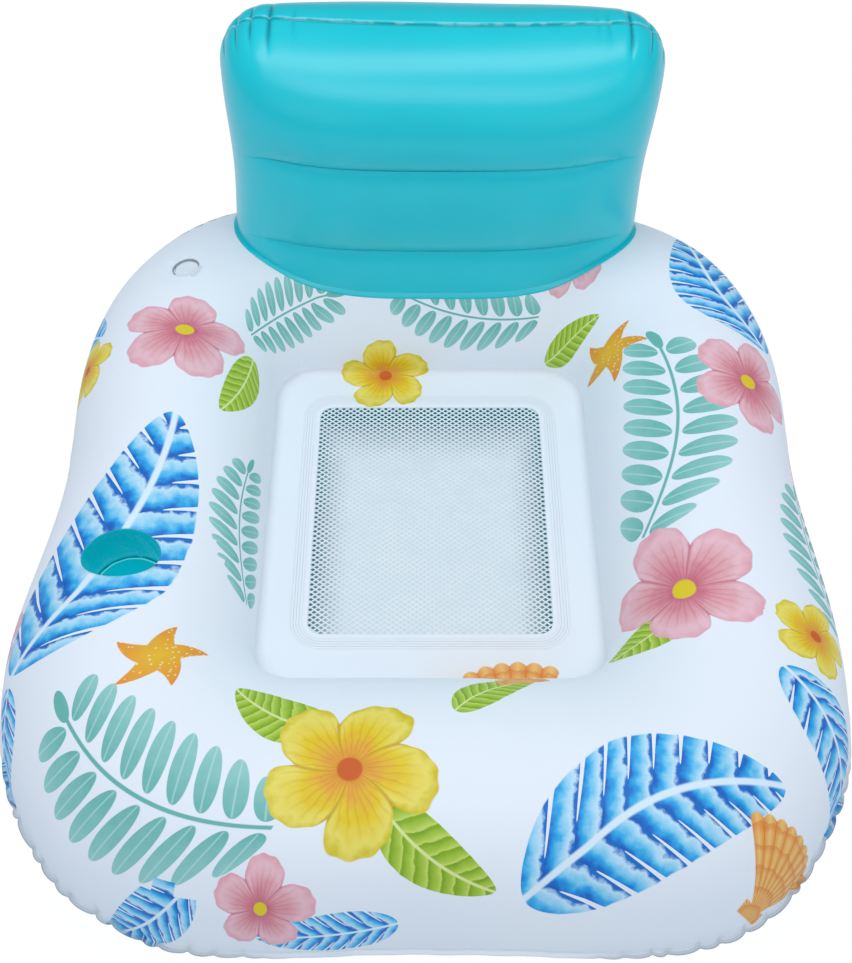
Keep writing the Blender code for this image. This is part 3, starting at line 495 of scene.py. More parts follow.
def net_finish():
    finish = Finish("white_net")
    finish.link("Base Color", finish.place().noise(30.0).tinted("DDE8EE", "F2F7FA"))
    uneven_gloss(finish, 300.0, 0.2, 0.4)
    finish.bump(finish.place().noise(1500.0, 1.0), 0.15 * MM)
    return finish.material


def valve_finish():
    """Moulded white, with painted shade, grey, on the recess's wall."""
    finish = Finish("moulded_white")
    white = finish.place().noise(60.0).tinted("E6EDF2", "F7FAFC")
    # Painted shade: grey on the recess's wall, where the mark deep is set
    finish.link("Base Color", (finish.mark("deep") * 0.9).tinted(white, "8494A0"))
    uneven_gloss(finish, 200.0, 0.15, 0.3)
    finish.bump(finish.place().noise(700.0, 1.0), 0.1 * MM)
    return finish.material


# Mesh making

ABOVE_ALL = 0.5                # metres; rays that look for the ring's top start here
WELDED = 0.02 * MM             # points closer than this are one


def placed(name, data):
    """A new object in the scene."""
    item = bpy.data.objects.new(name, data)
    bpy.context.scene.collection.objects.link(item)
    return item


def linked(name, mesh, finish):
    mesh.materials.clear()
    mesh.materials.append(finish)
    item = placed(name, mesh)
    mesh.shade_smooth()
    return item


@contextmanager
def edited(mesh):
    """A mesh opened for bmesh operators, and written back."""
    shape = bmesh.new()
    shape.from_mesh(mesh)
    yield shape
    shape.to_mesh(mesh)
    shape.free()


def grid_faces(rows, columns, closed=False):
    """Quads between the points of a grid, whose last row meets the first where it is closed."""
    a = np.arange(rows if closed else rows - 1)[:, None] * columns + np.arange(columns - 1)
    b = (a + columns) % (rows * columns)
    return np.stack([a, b, b + 1, a + 1], axis=2).reshape(-1, 4)


def grid_mesh(name, points, finish, closed=False, printed=None, flip=False):
    """A sheet from rows of points, with the flat sheet's own places as a UV map."""
    faces = grid_faces(*points.shape[:2], closed)
    if flip:
        faces = faces[:, ::-1]
    mesh = bpy.data.meshes.new(name)
    mesh.from_pydata(points.reshape(-1, 3).tolist(), [], faces.tolist())
    if printed is not None:
        keep_map(mesh, "print", printed.reshape(-1, 2)[faces.reshape(-1)])
    mesh.update()
    return linked(name, mesh, finish)


def keep_map(mesh, name, corners):
    mesh.uv_layers.new(name=name).data.foreach_set("uv", corners.reshape(-1).astype(np.float32))


def keep_mark(mesh, name, values, domain="POINT"):
    """Numbers on the mesh that a finish reads."""
    mark = mesh.attributes.new(name, "FLOAT", domain)
    mark.data.foreach_set("value", np.asarray(values).reshape(-1).astype(np.float32))


def baked(item):
    """The object with its modifiers turned into plain mesh."""
    graph = bpy.context.evaluated_depsgraph_get()
    mesh = bpy.data.meshes.new_from_object(item.evaluated_get(graph), preserve_all_data_layers=True,
                                           depsgraph=graph)
    item.modifiers.clear()
    item.data = mesh
    mesh.shade_smooth()
    return item


def thicken(item, offset=1):
    """Give a surface the film's thickness: 1 outwards, -1 inwards, 0 both ways."""
    wall = item.modifiers.new("wall", "SOLIDIFY")
    wall.thickness = SHEET
    wall.offset = offset
    wall.use_even_offset = False
    baked(item)


def drill(item, half_x, half_y, steps, place, depth):
    """Cut an oval hole right through a sheet, round a place's own Z."""
    turns = [2 * math.pi * k / steps for k in range(steps)]
    points = [place @ Vector((half_x * math.cos(turn), half_y * math.sin(turn), z))
              for z in (-depth, depth) for turn in turns]
    faces = [tuple(reversed(range(steps))), tuple(range(steps, 2 * steps))]
    faces += [(k, (k + 1) % steps, (k + 1) % steps + steps, k + steps) for k in range(steps)]
    mesh = bpy.data.meshes.new("drill")
    mesh.from_pydata(points, [], faces)
    tool = placed("drill", mesh)
    cut = item.modifiers.new("hole", "BOOLEAN")
    cut.operation, cut.solver, cut.object = "DIFFERENCE", "EXACT", tool
    baked(item)
    bpy.data.objects.remove(tool)


def normals_of(points):
    """Unit normals of an open grid of points, towards the side that rows by columns turn to."""
    normal = np.cross(np.gradient(points, axis=0), np.gradient(points, axis=1))
    return normal / np.maximum(np.linalg.norm(normal, axis=2, keepdims=True), 1e-9)


def tree_of(item):
    mesh = item.data
    return BVHTree.FromPolygons([v.co for v in mesh.vertices], [tuple(p.vertices) for p in mesh.polygons])


def height_of(surface, spot):
    """The height of a surface's top at a place in plan."""
    return surface.ray_cast(Vector((*spot, ABOVE_ALL)), Vector((0, 0, -1)))[0].z


def axes_at(origin, x, y, z):
    place = Matrix.Identity(4)
    place.col[0][:3], place.col[1][:3], place.col[2][:3] = x, y, z
    place.translation = origin
    return place


def flattened(item, place, near, far, level):
    """Draw a sheet flat round a welded fitting, at a level off the fitting's own plane."""
    back = place.inverted()
    for vertex in item.data.vertices:
        local = back @ vertex.co
        distance = math.hypot(local.x, local.y)
        if distance < far and abs(local.z) < 60 * MM:
            local.z = level + (local.z - level) * smooth(distance, near, far)
            vertex.co = place @ local


# Soft film

def smooth(value, start, end):
    """0 at start, 1 at end and smooth between; end may be the lower one."""
    share = np.clip((value - start) / (end - start), 0, 1)
    return share * share * (3 - 2 * share)


def notches(total, spacing, seed):
    """Uneven places along a seam where the film is gathered."""
    chance = np.random.default_rng(seed)
    count = max(2, round(total / spacing))
    return (np.arange(count) + chance.uniform(-0.3, 0.3, count)) * total / count, chance


def scallops(along, total, spacing, seed):
    """0 at each notch of a seam and 1 in the middle of the arc between two."""
    places = np.sort(notches(total, spacing, seed)[0] % total)
    places = np.concatenate([[places[-1] - total], places, [places[0] + total]])
    after = np.clip(np.searchsorted(places, along, side="right"), 1, len(places) - 1)
    way = (along - places[after - 1]) / (places[after] - places[after - 1])
    return np.sin(math.pi * way) ** 0.7


def valleys(along, off, total, spacing, depth, length, width, seed, strength=None, slant=0.3):
    """Depth of the puckers at a seam: sharp valleys at uneven steps along it, fading away from it.

    along is a sheet's place along the seam and off its distance from it. total closes the seam into a loop.
    strength is the places along the seam and the share of the depth that puckers have there.
    """
    places, chance = notches(total, spacing, seed)
    sunk = np.zeros(np.broadcast(along, off).shape)
    for place in places:
        deep, far, lean = depth * chance.uniform(0.35, 1.25), chance.uniform(*length), chance.uniform(-slant, slant)
        if strength is not None:
            share = np.interp(place, *strength)
            deep, far = deep * share, far * (0.6 + 0.4 * share)
        aside = (along - place - lean * off + total / 2) % total - total / 2
        fade = np.exp(-(off / far) ** 1.6) * (0.7 + 0.3 * np.minimum(1, off / (8 * MM)))
        sunk += deep * fade * np.exp(-np.abs(aside) / (width + 0.14 * off))
    return sunk


def swayed(x, y, seed):
    """Slow, slight unevenness of an inflated film, from -1 to 1."""
    chance = np.random.default_rng(seed)
    total = 0
    for _ in range(7):
        turn, pace, phase = chance.uniform(0, math.pi), chance.uniform(14, 34), chance.uniform(0, 6.3)
        total = total + np.sin((x * math.cos(turn) + y * math.sin(turn)) * pace + phase)
    return total / 7


# Ring

RING_STATIONS = 1060
# Turns of the tube's section, in degrees from the inner seam, with their rows closest near the seams
TOP_TURNS = np.concatenate([np.linspace(0, 20, 6)[:-1], np.linspace(20, 145, 20)[:-1], np.linspace(145, 180, 13)])
BOTTOM_TURNS = np.concatenate([np.linspace(0, 150, 17)[:-1], np.linspace(150, 180, 8)])
BORDER_SHARES = np.array([0, 0.015, 0.25, 0.5, 0.75])
FLANGE_SHARES = np.array([0.3, 0.65, 1.0])
SCALLOP, SCALLOP_DEPTH, SCALLOP_REACH, SCALLOP_SEED = 27 * MM, 2.6 * MM, 13 * MM, 3
# Where the film is gathered most: distance of the corners from the ring's middle, and how far the gathers reach
GATHERED_X, GATHERED_Y, GATHERED_REACH = 335 * MM, 465 * MM, (220 * MM, 120 * MM)
# Puckers: spacing, depth, least and greatest length, width, seed
OUTER_PUCKERS = (SCALLOP, 2.0 * MM, (9 * MM, 20 * MM), 2.4 * MM, SCALLOP_SEED)
INNER_PUCKERS = (30 * MM, 1.5 * MM, (14 * MM, 36 * MM), 4 * MM, 8)
WELL_CORNER_FOLDS = (26 * MM, 1.4 * MM, (35 * MM, 70 * MM), 5 * MM, 12)
SWAY_DEPTH = 2.2 * MM
# The lower sheet is drawn in below the seam, so that it stays out of sight from above: depth, place and spread
TUCK_DEPTH, TUCK_PLACE, TUCK_SPREAD = 6 * MM, 34 * MM, 26 * MM


def ring_stations(count):
    """Corner centres and outward directions along the tube's outer side, closest at the corners."""
    half_x, half_y = WELL_WIDTH / 2 - WELL_CORNER, WELL_LENGTH / 2 - WELL_CORNER
    radius = WELL_CORNER + (BASE_LENGTH - WELL_LENGTH + BASE_WIDTH - WELL_WIDTH) / 4
    stops = [(0, 1, 90), (-1, 1, 90), (-1, 1, 180), (-1, -1, 180), (-1, -1, 270),
             (1, -1, 270), (1, -1, 360), (1, 1, 360), (1, 1, 450), (0, 1, 450)]
    lengths = [math.hypot((b[0] - a[0]) * half_x, (b[1] - a[1]) * half_y) + math.radians(b[2] - a[2]) * radius
               for a, b in zip(stops, stops[1:])]
    marks = np.concatenate([[0], np.cumsum(lengths)])
    fine = np.linspace(0, marks[-1], 4001)
    bend = np.radians(np.interp(fine, marks, [stop[2] for stop in stops]))
    packed = np.cumsum(1 + 1.4 * np.abs(np.sin(2 * bend)) ** 1.5)
    distance = np.interp(np.arange(count) / count, (packed - packed[0]) / (packed[-1] - packed[0]), fine)
    x, y, turn = (np.interp(distance, marks, [stop[k] for stop in stops]) for k in range(3))
    turn = np.radians(turn)
    return x, y, np.stack([np.cos(turn), np.sin(turn)], axis=1)


def corner_points(x, y, direction, width, length, corner, centre_y):
    """The stations' points on a rounded rectangle of any size round the well."""
    middle = np.stack([x * (width / 2 - corner), centre_y + y * (length / 2 - corner)], axis=1)
    return middle + direction * corner


def inside_outline(spots):
    """Whether places lie inside the ring's outer seam."""
    x, y = spots[:, 0], spots[:, 1]
    half = BASE_WIDTH / 2 - WAIST_DEPTH * np.exp(-(((y - WAIST_CENTRE_Y) / WAIST_SPREAD) ** 2))
    power = np.where(y < 0, FRONT_SQUARENESS, REAR_SQUARENESS)
    return np.abs(x / half) ** power + np.abs(y / (BASE_LENGTH / 2)) ** power < 1


def tube_widths(start, direction):
    """Distances from the inner seam to the outer seam."""
    near, far = np.zeros(len(start)), np.full(len(start), BASE_LENGTH)
    for _ in range(40):
        middle = (near + far) / 2
        inside = inside_outline(start + direction * middle[:, None])
        near, far = np.where(inside, middle, near), np.where(inside, far, middle)
    width = near
    outer = start + direction * width[:, None]
    for at_x, at_y, amount, spread in SEAM_SWELLS:
        off = np.hypot(outer[:, 0] - at_x * MM, outer[:, 1] - at_y * MM)
        width = width + amount * MM * np.exp(-(off / (spread * MM)) ** 2)
    return width, outer


def round_lengths(loop):
    """Places along a closed line of points, and its whole length."""
    legs = np.linalg.norm(np.roll(loop, -1, axis=0) - loop, axis=1)
    return np.concatenate([[0], np.cumsum(legs)[:-1]]), legs.sum()


def arc_lengths(points):
    steps = np.linalg.norm(np.diff(points, axis=1), axis=2)
    return np.concatenate([np.zeros((len(points), 1)), np.cumsum(steps, axis=1)], axis=1)


def at_level(spots, level):
    """Places in plan with one height."""
    return np.concatenate([spots, np.full(spots.shape[:-1] + (1,), level)], axis=-1)


def ring_sheet(name, side, turns, finish):
    """One sheet of the ring: flat border, tube and weld flange. side is 1 for the upper sheet."""
    x, y, direction = ring_stations(RING_STATIONS)
    window = corner_points(x, y, direction, WINDOW_WIDTH, WINDOW_LENGTH, WINDOW_CORNER, WINDOW_CENTRE_Y)
    inner = corner_points(x, y, direction, WELL_WIDTH, WELL_LENGTH, WELL_CORNER, WELL_CENTRE_Y)
    width, outer = tube_widths(inner, direction)
    outer_at, outer_total = round_lengths(outer)
    inner_at, inner_total = round_lengths(inner)
    corner = 4 * (direction[:, 0] * direction[:, 1]) ** 2
    from_corner = np.hypot(np.abs(outer[:, 0]) - GATHERED_X, np.abs(outer[:, 1]) - GATHERED_Y)
    gathered = 0.08 + 0.92 * smooth(from_corner, *GATHERED_REACH)

    # The tube's section is half an ellipse between the two seams
    ahead = np.maximum(0, -direction[:, 1]) ** 2
    rise = SIDE_RISE + (FRONT_RISE - SIDE_RISE) * ahead
    turn = np.radians(turns)
    across = (1 - np.cos(turn)) / 2
    net_level, seam_level = NET_THICKNESS / 2 + GAP, GAP / 2
    level = net_level + (seam_level - net_level) * across + rise[:, None] * np.sin(turn)
    if side < 0:
        level = np.minimum(level, SEAM_HEIGHT - SHEET)
    crest_shift = FRONT_CREST_SHIFT * ahead[:, None] * np.sin(turn) ** 2 * (side > 0)
    outward = width[:, None] * across + crest_shift
    spots = inner[:, None] + direction[:, None] * outward[:, :, None]
    tube = np.concatenate([spots, level[:, :, None]], axis=2)
    arc = arc_lengths(tube)
    to_seam = arc[:, -1:] - arc

    # Outward normals of the section, along which the film is pushed
    out, up = -rise[:, None] * np.cos(turn), width[:, None] / 2 * np.sin(turn)
    size = np.hypot(out, up)
    out, up = out / size, up / size
    normal = np.concatenate([direction[:, None] * out[:, :, None], up[:, :, None]], axis=2)
    sunk = valleys(outer_at[:, None], to_seam, outer_total, *OUTER_PUCKERS, (outer_at, gathered))
    sunk += valleys(inner_at[:, None], arc, inner_total, *INNER_PUCKERS, (inner_at, 0.35 + 0.65 * corner))
    folds = valleys(inner_at[:, None], arc, inner_total, *WELL_CORNER_FOLDS, (inner_at, smooth(corner, 0.05, 0.6)),
                    0.12)
    sunk += folds * smooth(arc, 0, 12 * MM)
    push = swayed(spots[:, :, 0], spots[:, :, 1], 5) * SWAY_DEPTH * np.sin(turn) - sunk
    if side < 0:
        tuck = TUCK_DEPTH * np.exp(-((to_seam - TUCK_PLACE) / TUCK_SPREAD) ** 2)
        push = (push - tuck) * smooth(SEAM_HEIGHT - level, 3 * MM, 30 * MM)
    tube = tube + normal * push[:, :, None]
    scallop = (scallops(outer_at, outer_total, SCALLOP, SCALLOP_SEED) - 0.6) * SCALLOP_DEPTH * gathered
    tube[:, :, :2] += direction[:, None] * (scallop[:, None] * np.exp(-to_seam / SCALLOP_REACH))[:, :, None]

    first = len(BORDER_SHARES)
    border = window[:, None] + (inner - window)[:, None] * BORDER_SHARES[:, None]
    flange_steps = FLANGE_SHARES * WELD_FLANGE
    flange = tube[:, -1, None, :2] + direction[:, None] * flange_steps[:, None]
    points = np.concatenate([at_level(border, net_level), tube, at_level(flange, seam_level)], axis=1)
    points[:, :, 2] = SEAM_HEIGHT + side * points[:, :, 2]

    # The weld flange waves up and down, and both sheets follow it
    way = outer_at / outer_total * 2 * math.pi
    wave = np.sin(way * 61) * 0.8 * MM
    wave += np.sin(way * 23 + 1) * 1.2 * MM
    near = np.concatenate([to_seam, np.zeros((len(tube), len(FLANGE_SHARES)))], axis=1)
    points[:, first:, 2] += np.exp(-(near / (12 * MM)) ** 2) * wave[:, None]

    # On the flat sheet the tube lies unrolled outwards from the inner seam
    flat_arc = np.concatenate([np.zeros((len(tube), first)), arc, arc[:, -1:] + flange_steps], axis=1)
    printed = inner[:, None] + direction[:, None] * flat_arc[:, :, None]
    printed[:, :first] = border
    points[:, :, :2] += PLAN_CENTRE
    item = grid_mesh(name, points, finish, closed=True, printed=printed, flip=side > 0)
    # The weld flange's share, strongest where the film is gathered: the print's finish paints shade there and the
    # teal finish paints glints
    seam = np.zeros(points.shape[:2])
    seam[:, -len(FLANGE_SHARES):] = FLANGE_SHARES
    keep_mark(item.data, "seam", seam * gathered[:, None])
    return item


MOTIF_MARGIN = 6               # millimetres of white round a motif's box that are still its own


def motif_places(spots, x, y, size, turn, bend):
    """Places of the flat sheet in a motif's own coordinates, from -1 to 1."""
    cosine, sine = math.cos(math.radians(turn)), math.sin(math.radians(turn))
    moved = (spots - (x, y)) / size
    along = moved[:, 0] * cosine + moved[:, 1] * sine
    beside = moved[:, 1] * cosine - moved[:, 0] * sine
    return np.stack([along, beside + bend * along * along * 2], axis=1)


def find_motifs(item, layout, map_name, mark_name, half_breadth):
    """Give each face of the printed sheet the motif that it shows, in the motif's own coordinates."""
    mesh = item.data
    flat = np.empty(len(mesh.loops) * 2, dtype=np.float32)
    mesh.uv_layers["print"].data.foreach_get("uv", flat)
    flat = flat.reshape(-1, 2).astype(float)
    totals = np.empty(len(mesh.polygons), dtype=np.int32)
    mesh.polygons.foreach_get("loop_total", totals)
    owner = np.repeat(np.arange(len(totals)), totals)
    middle = np.stack([np.bincount(owner, flat[:, k]) / totals for k in (0, 1)], axis=1)
    places = np.full((len(flat), 2), 9.0)
    marks = np.zeros(len(totals))
    nearest = np.full(len(totals), 1e9)
    for kind, x, y, size, turn, bend in layout:
        where = (x / 1000, y / 1000, size / 1000, turn, bend / 100)
        spots = motif_places(middle, *where)
        distance = np.hypot(spots[:, 0], spots[:, 1])
        margin = MOTIF_MARGIN / size
        inside = (np.abs(spots) < np.array([1.02, half_breadth]) + margin).all(axis=1) & (distance < nearest)
        nearest[inside] = distance[inside]
        marks[inside] = kind
        chosen = inside[owner]
        places[chosen] = motif_places(flat[chosen], *where)
    keep_map(mesh, map_name, places)
    keep_mark(mesh, mark_name, marks, "FACE")


# Backrest

BACK_COLUMNS = 280
LOBE_ROWS = (34, 36, 66)
# Heights of the foot, the two creases and the top, as shares of the panel's height
BACK_STOPS = (0.0, (LOWER_CREASE - BACK_FOOT) / (BACK_TOP - BACK_FOOT),
              (UPPER_CREASE - BACK_FOOT) / (BACK_TOP - BACK_FOOT), 1.0)
FLANGE_ROWS = 4
FOOT_SEARCH_STEPS = 18
# Puckers along the two creases: spacing, depth, least and greatest length, width; then each crease's seed
CREASE_PUCKERS = (34 * MM, 1.1 * MM, (9 * MM, 26 * MM), 3.5 * MM)
CREASE_SEEDS = ((LOWER_CREASE, 21), (UPPER_CREASE, 22))
# Pleats at the backrest's upper corners: hand, turn round the corner in degrees, place further in,
# depth, length and width, in millimetres
PLEATS = (
    (-1, 30, 0, 2.6, 18, 1.6), (-1, 51, 0, 4.0, 24, 1.8), (-1, 70, 0, 4.2, 26, 2.0), (-1, 89, 3, 5.2, 32, 2.2),
    (-1, 90, 31, 2.2, 24, 3.0), (1, 20, 0, 2.6, 18, 1.6), (1, 46, 0, 4.2, 26, 1.8), (1, 77, 0, 5.0, 34, 2.2),
    (1, 90, 15, 2.4, 24, 2.2), (1, 90, 28, 1.8, 20, 3.0))


def swell(share, side):
    """Depth of a panel off the seam plane, the arch of its lobe and how far that arch has faded.

    share is the place's share of the height, and side is -1 for the front panel.
    """
    tie, foot = (FRONT_DEPTH, FRONT_FOOT_DEPTH) if side < 0 else (REAR_DEPTH, REAR_FOOT_DEPTH)
    lobe = np.clip(np.searchsorted(BACK_STOPS, share, side="right") - 1, 0, 2)
    low, high = np.take(BACK_STOPS, lobe), np.take(BACK_STOPS, lobe + 1)
    along = np.clip((share - low) / (high - low), 0, 1)
    arch = np.sqrt(np.maximum(0, 4 * along * (1 - along)))
    closing = np.maximum(0, 1 - along ** TOP_ROUNDNESS) ** (1 / TOP_ROUNDNESS)
    fading = np.sqrt(np.maximum(0, 1 - along ** TOP_SWELL_FADE))
    base = foot + (tie - foot) * smooth(share, 0, BACK_STOPS[1])
    top = lobe == 2
    return np.where(top, tie * closing, base), arch, np.where(top, fading, 1.0)


def back_points(across, share, side, extra=0.0):
    """Points of a backrest panel. extra carries the seam's own line outwards into the weld flange."""
    half = BACK_HALF_WIDTH - BACK_PINCH * np.sin(math.pi * share) - BACK_FOOT_TAPER * smooth(share, 0.35, 0)
    sine = np.sin(across * math.pi / 2)
    x = (half + extra) * sine
    corner = BACK_CORNER + extra
    over = np.clip(np.abs(x) - (half + extra - corner), 0, corner)
    top = BACK_TOP + extra - corner + np.sqrt(np.maximum(0, corner * corner - over * over))
    z = BACK_FOOT + (top - BACK_FOOT) * share
    up = (z - BACK_FOOT) / (BACK_TOP - BACK_FOOT)
    base, arch, fading = swell(share, side)
    fade = smooth(np.abs(sine), *CREASE_FADE_SHARES)
    plan = np.maximum(0, 1 - np.abs(sine) ** PLAN_ROUNDNESS) ** (1 / PLAN_ROUNDNESS)
    depth = GAP / 2 + (base + LOBE_DEPTH * (arch + (1 - arch) * fade) * fading) * plan * (extra == 0)

    # The top seam tilts a little and bends back towards its corners
    way, high = x / BACK_HALF_WIDTH, smooth(up, 0.55, 1.0)
    lifted = (2 * way ** 2 - 4.5 * way) * MM * high
    carried = (14 * way ** 2 - 5) * MM * high * np.exp(-(depth / (45 * MM)) ** 2)
    return np.stack([x + BACK_SWAY * up + BACK_SHIFT, BACK_SEAM_Y + BACK_LEAN * up + carried + side * depth,
                     SEAM_HEIGHT + z + lifted], axis=-1)


def back_places(points):
    """A backrest point's place across, up and off the seam plane, with the lean taken out."""
    up = (points[..., 2] - SEAM_HEIGHT - BACK_FOOT) / (BACK_TOP - BACK_FOOT)
    deep = np.abs(points[..., 1] - BACK_SEAM_Y - BACK_LEAN * up)
    return points[..., 0] - BACK_SWAY * up - BACK_SHIFT, points[..., 2] - SEAM_HEIGHT, deep


def pleats(points):
    """Depth of the pleats at the upper corners."""
    x, z, deep = back_places(points)
    sunk = np.zeros(x.shape)
    half = BACK_HALF_WIDTH - BACK_PINCH * np.sin(math.pi * 0.9)
    for hand, turn, further, depth, length, width in PLEATS:
        turn = math.radians(turn)
        out = np.array([hand * math.cos(turn), math.sin(turn)])
        seam = np.array([hand * (half - BACK_CORNER - further * MM), BACK_TOP - BACK_CORNER]) + out * BACK_CORNER
        inward = -((x - seam[0]) * out[0] + (z - seam[1]) * out[1])
        beside = (x - seam[0]) * out[1] - (z - seam[1]) * out[0]
        off = np.hypot(np.maximum(inward, 0), deep * 0.7)
        fade = np.exp(-(off / (length * MM)) ** 3)
        sunk += depth * MM * fade * np.exp(-np.abs(beside) / (width * MM + 0.04 * off))
    return sunk * smooth(deep, 0, 2.5 * MM)


def back_creases(points, side):
    """How far pleats, weld puckers and slow unevenness push a panel's points inwards."""
    x, z, deep = back_places(points)
    sunk = pleats(points)
    reaches = smooth(np.abs(x), 0.92 * BACK_HALF_WIDTH, 0.78 * BACK_HALF_WIDTH)
    for height, seed in CREASE_SEEDS:
        off = np.abs(z - height)
        sunk += valleys(x + 1.0, off, 2.0, *CREASE_PUCKERS, seed) * reaches * smooth(off, 0, 3 * MM)
    return sunk - swayed(x, z * 1.3, 31 + side) * 2.0 * MM * smooth(deep, 0, 60 * MM)


def foot_shares(across, side, ring_tree):
    """The share of a panel's height where each of its columns meets the ring."""
    low, high = np.zeros(len(across)), np.full(len(across), BACK_STOPS[1])
    for _ in range(FOOT_SEARCH_STEPS):
        middle = (low + high) / 2
        spots = back_points(across, middle, side) + (CENTRE.x, CENTRE.y, -SHEET - GAP)
        under = np.array([ring_tree.ray_cast(Vector(spot), Vector((0, 0, 1)))[0] is not None for spot in spots])
        low, high = np.where(under, middle, low), np.where(under, high, middle)
    return high


def rim_of(grid):
    """A panel's values up its first column, along its top row and down its last column."""
    return np.concatenate([grid[:, 0], grid[-1, 1:-1], grid[::-1, -1]])


def back_panel(name, side, ring_tree, finish):
    """A backrest panel from the ring up, with its weld flange. side is -1 for the front one."""
    across = np.linspace(-1, 1, BACK_COLUMNS + 1)
    starts = foot_shares(across, side, ring_tree)
    rows = []
    for low, high, count in zip(BACK_STOPS, BACK_STOPS[1:], LOBE_ROWS):
        for k in range(count if high < 1 else count + 1):
            way = (1 - math.cos(math.pi * k / count)) / 2
            rows.append((starts if low == 0 else low) * (1 - way) + high * way)
    shares = np.stack([np.broadcast_to(row, across.shape) for row in rows])
    across = np.broadcast_to(across, shares.shape)
    points = back_points(across, shares, side)
    # The pleats' depth, which the teal finish turns into painted shade
    fold = np.clip(pleats(points) / (4 * MM), 0, 1)
    points = points - normals_of(points) * side * back_creases(points, side)[..., None]

    # The flange goes on from the rim as it lies after the pleats
    rim, rim_across, rim_shares = rim_of(points), rim_of(across), rim_of(shares)
    shift = rim - back_points(rim_across, rim_shares, side)
    strip = np.stack([rim] + [back_points(rim_across, rim_shares, side, BACK_FLANGE * k / FLANGE_ROWS) + shift
                              for k in range(1, FLANGE_ROWS + 1)])
    base = points[..., 0].size
    vertices = np.concatenate([points.reshape(-1, 3), strip.reshape(-1, 3)])
    faces = np.concatenate([grid_faces(*shares.shape), base + grid_faces(*strip.shape[:2])])
    # Outwards on either panel, and split along the same diagonals
    faces = np.roll(faces, -1, axis=1) if side > 0 else np.roll(faces[:, ::-1], 1, axis=1)
    mesh = bpy.data.meshes.new(name)
    mesh.from_pydata(vertices.tolist(), [], faces.tolist())
    keep_mark(mesh, "fold", np.concatenate([fold.reshape(-1), np.zeros(len(vertices) - base)]))
    # 1 on the weld flange, where the teal finish paints glints as a painted highlight
    seam = np.ones(len(vertices))
    seam[:base - shares.shape[1]] = 0
    keep_mark(mesh, "seam", seam)
    with edited(mesh) as shape:
        bmesh.ops.remove_doubles(shape, verts=shape.verts, dist=WELDED)
        bmesh.ops.translate(shape, verts=shape.verts, vec=CENTRE)
    return linked(name, mesh, finish)


def foot_panel(ring_tree, finish):
    """The sheet that the backrest stands on, welded to the ring, with a lip outside the backrest."""
    across = np.linspace(-1, 1, 141)
    loop = []
    for side, line in ((-1, across[:-1]), (1, across[:0:-1])):
        loop.append(back_points(line, foot_shares(line, side, ring_tree), side)[:, :2])
    loop = np.concatenate(loop) + PLAN_CENTRE
    along = np.roll(loop, -1, axis=0) - np.roll(loop, 1, axis=0)
    out = np.stack([along[:, 1], -along[:, 0]], axis=1)
    out /= np.linalg.norm(out, axis=1, keepdims=True)
    middle = loop.mean(axis=0)
    rows = [middle + (loop - middle) * share for share in (0.05, 0.2, 0.35, 0.5, 0.62, 0.74, 0.84, 0.92, 0.97, 1)]
    rows += [loop + out * FOOT_LIP * share for share in (0.35, 0.7, 1.0)]
    spots = np.stack(rows, axis=1)
    heights = np.empty(spots.shape[:2])
    for index in np.ndindex(heights.shape):
        heights[index] = height_of(ring_tree, spots[index]) + SHEET + GAP
    points = np.concatenate([spots, heights[:, :, None]], axis=2)
    return grid_mesh("backrest_foot_sheet", points, finish, closed=True, flip=True)


def tie_strip(name, height, finish):
    """An inner tie between the two panels, at a crease."""
    share = (height - BACK_FOOT) / (BACK_TOP - BACK_FOOT)
    across = np.linspace(-0.57, 0.57, 61)
    front, rear = (back_points(across, np.full(across.shape, share), side) for side in (-1, 1))
    front[:, 1] += 2 * MM
    rear[:, 1] -= 2 * MM
    points = front[:, None] + (rear - front)[:, None] * np.linspace(0, 1, 25)[:, None]
    points[:, :, 2] += swayed(points[:, :, 0] * 2, points[:, :, 1] * 2, 51) * 1.5 * MM
    points[:, :, :2] += PLAN_CENTRE
    return grid_mesh(name, points, finish)


# Net

NET_COLUMNS, NET_ROWS, NET_REACH = 62, 49, 16 * MM
NET_HOLE_SHARE = 0.66


def net_cell(pitch_x, pitch_y, finish):
    """One diamond of the net: a ring of strand round one hole, highest along its middle line."""
    half = NET_THICKNESS * 0.6
    corners = [(1, 0), (0, 1), (-1, 0), (0, -1)]
    points = []
    for share, z in ((1, half), (NET_HOLE_SHARE, half * 0.5), (NET_HOLE_SHARE, -half * 0.5), (1, -half)):
        points += [(x * pitch_x * share, y * pitch_y / 2 * share, z) for x, y in corners]
    faces = [(a + k, a + (k + 1) % 4, a + (k + 1) % 4 + 4, a + k + 4) for a in (0, 4, 8) for k in range(4)]
    mesh = bpy.data.meshes.new("net_cell")
    mesh.from_pydata(points, [], faces)
    return linked("net_cell", mesh, finish)


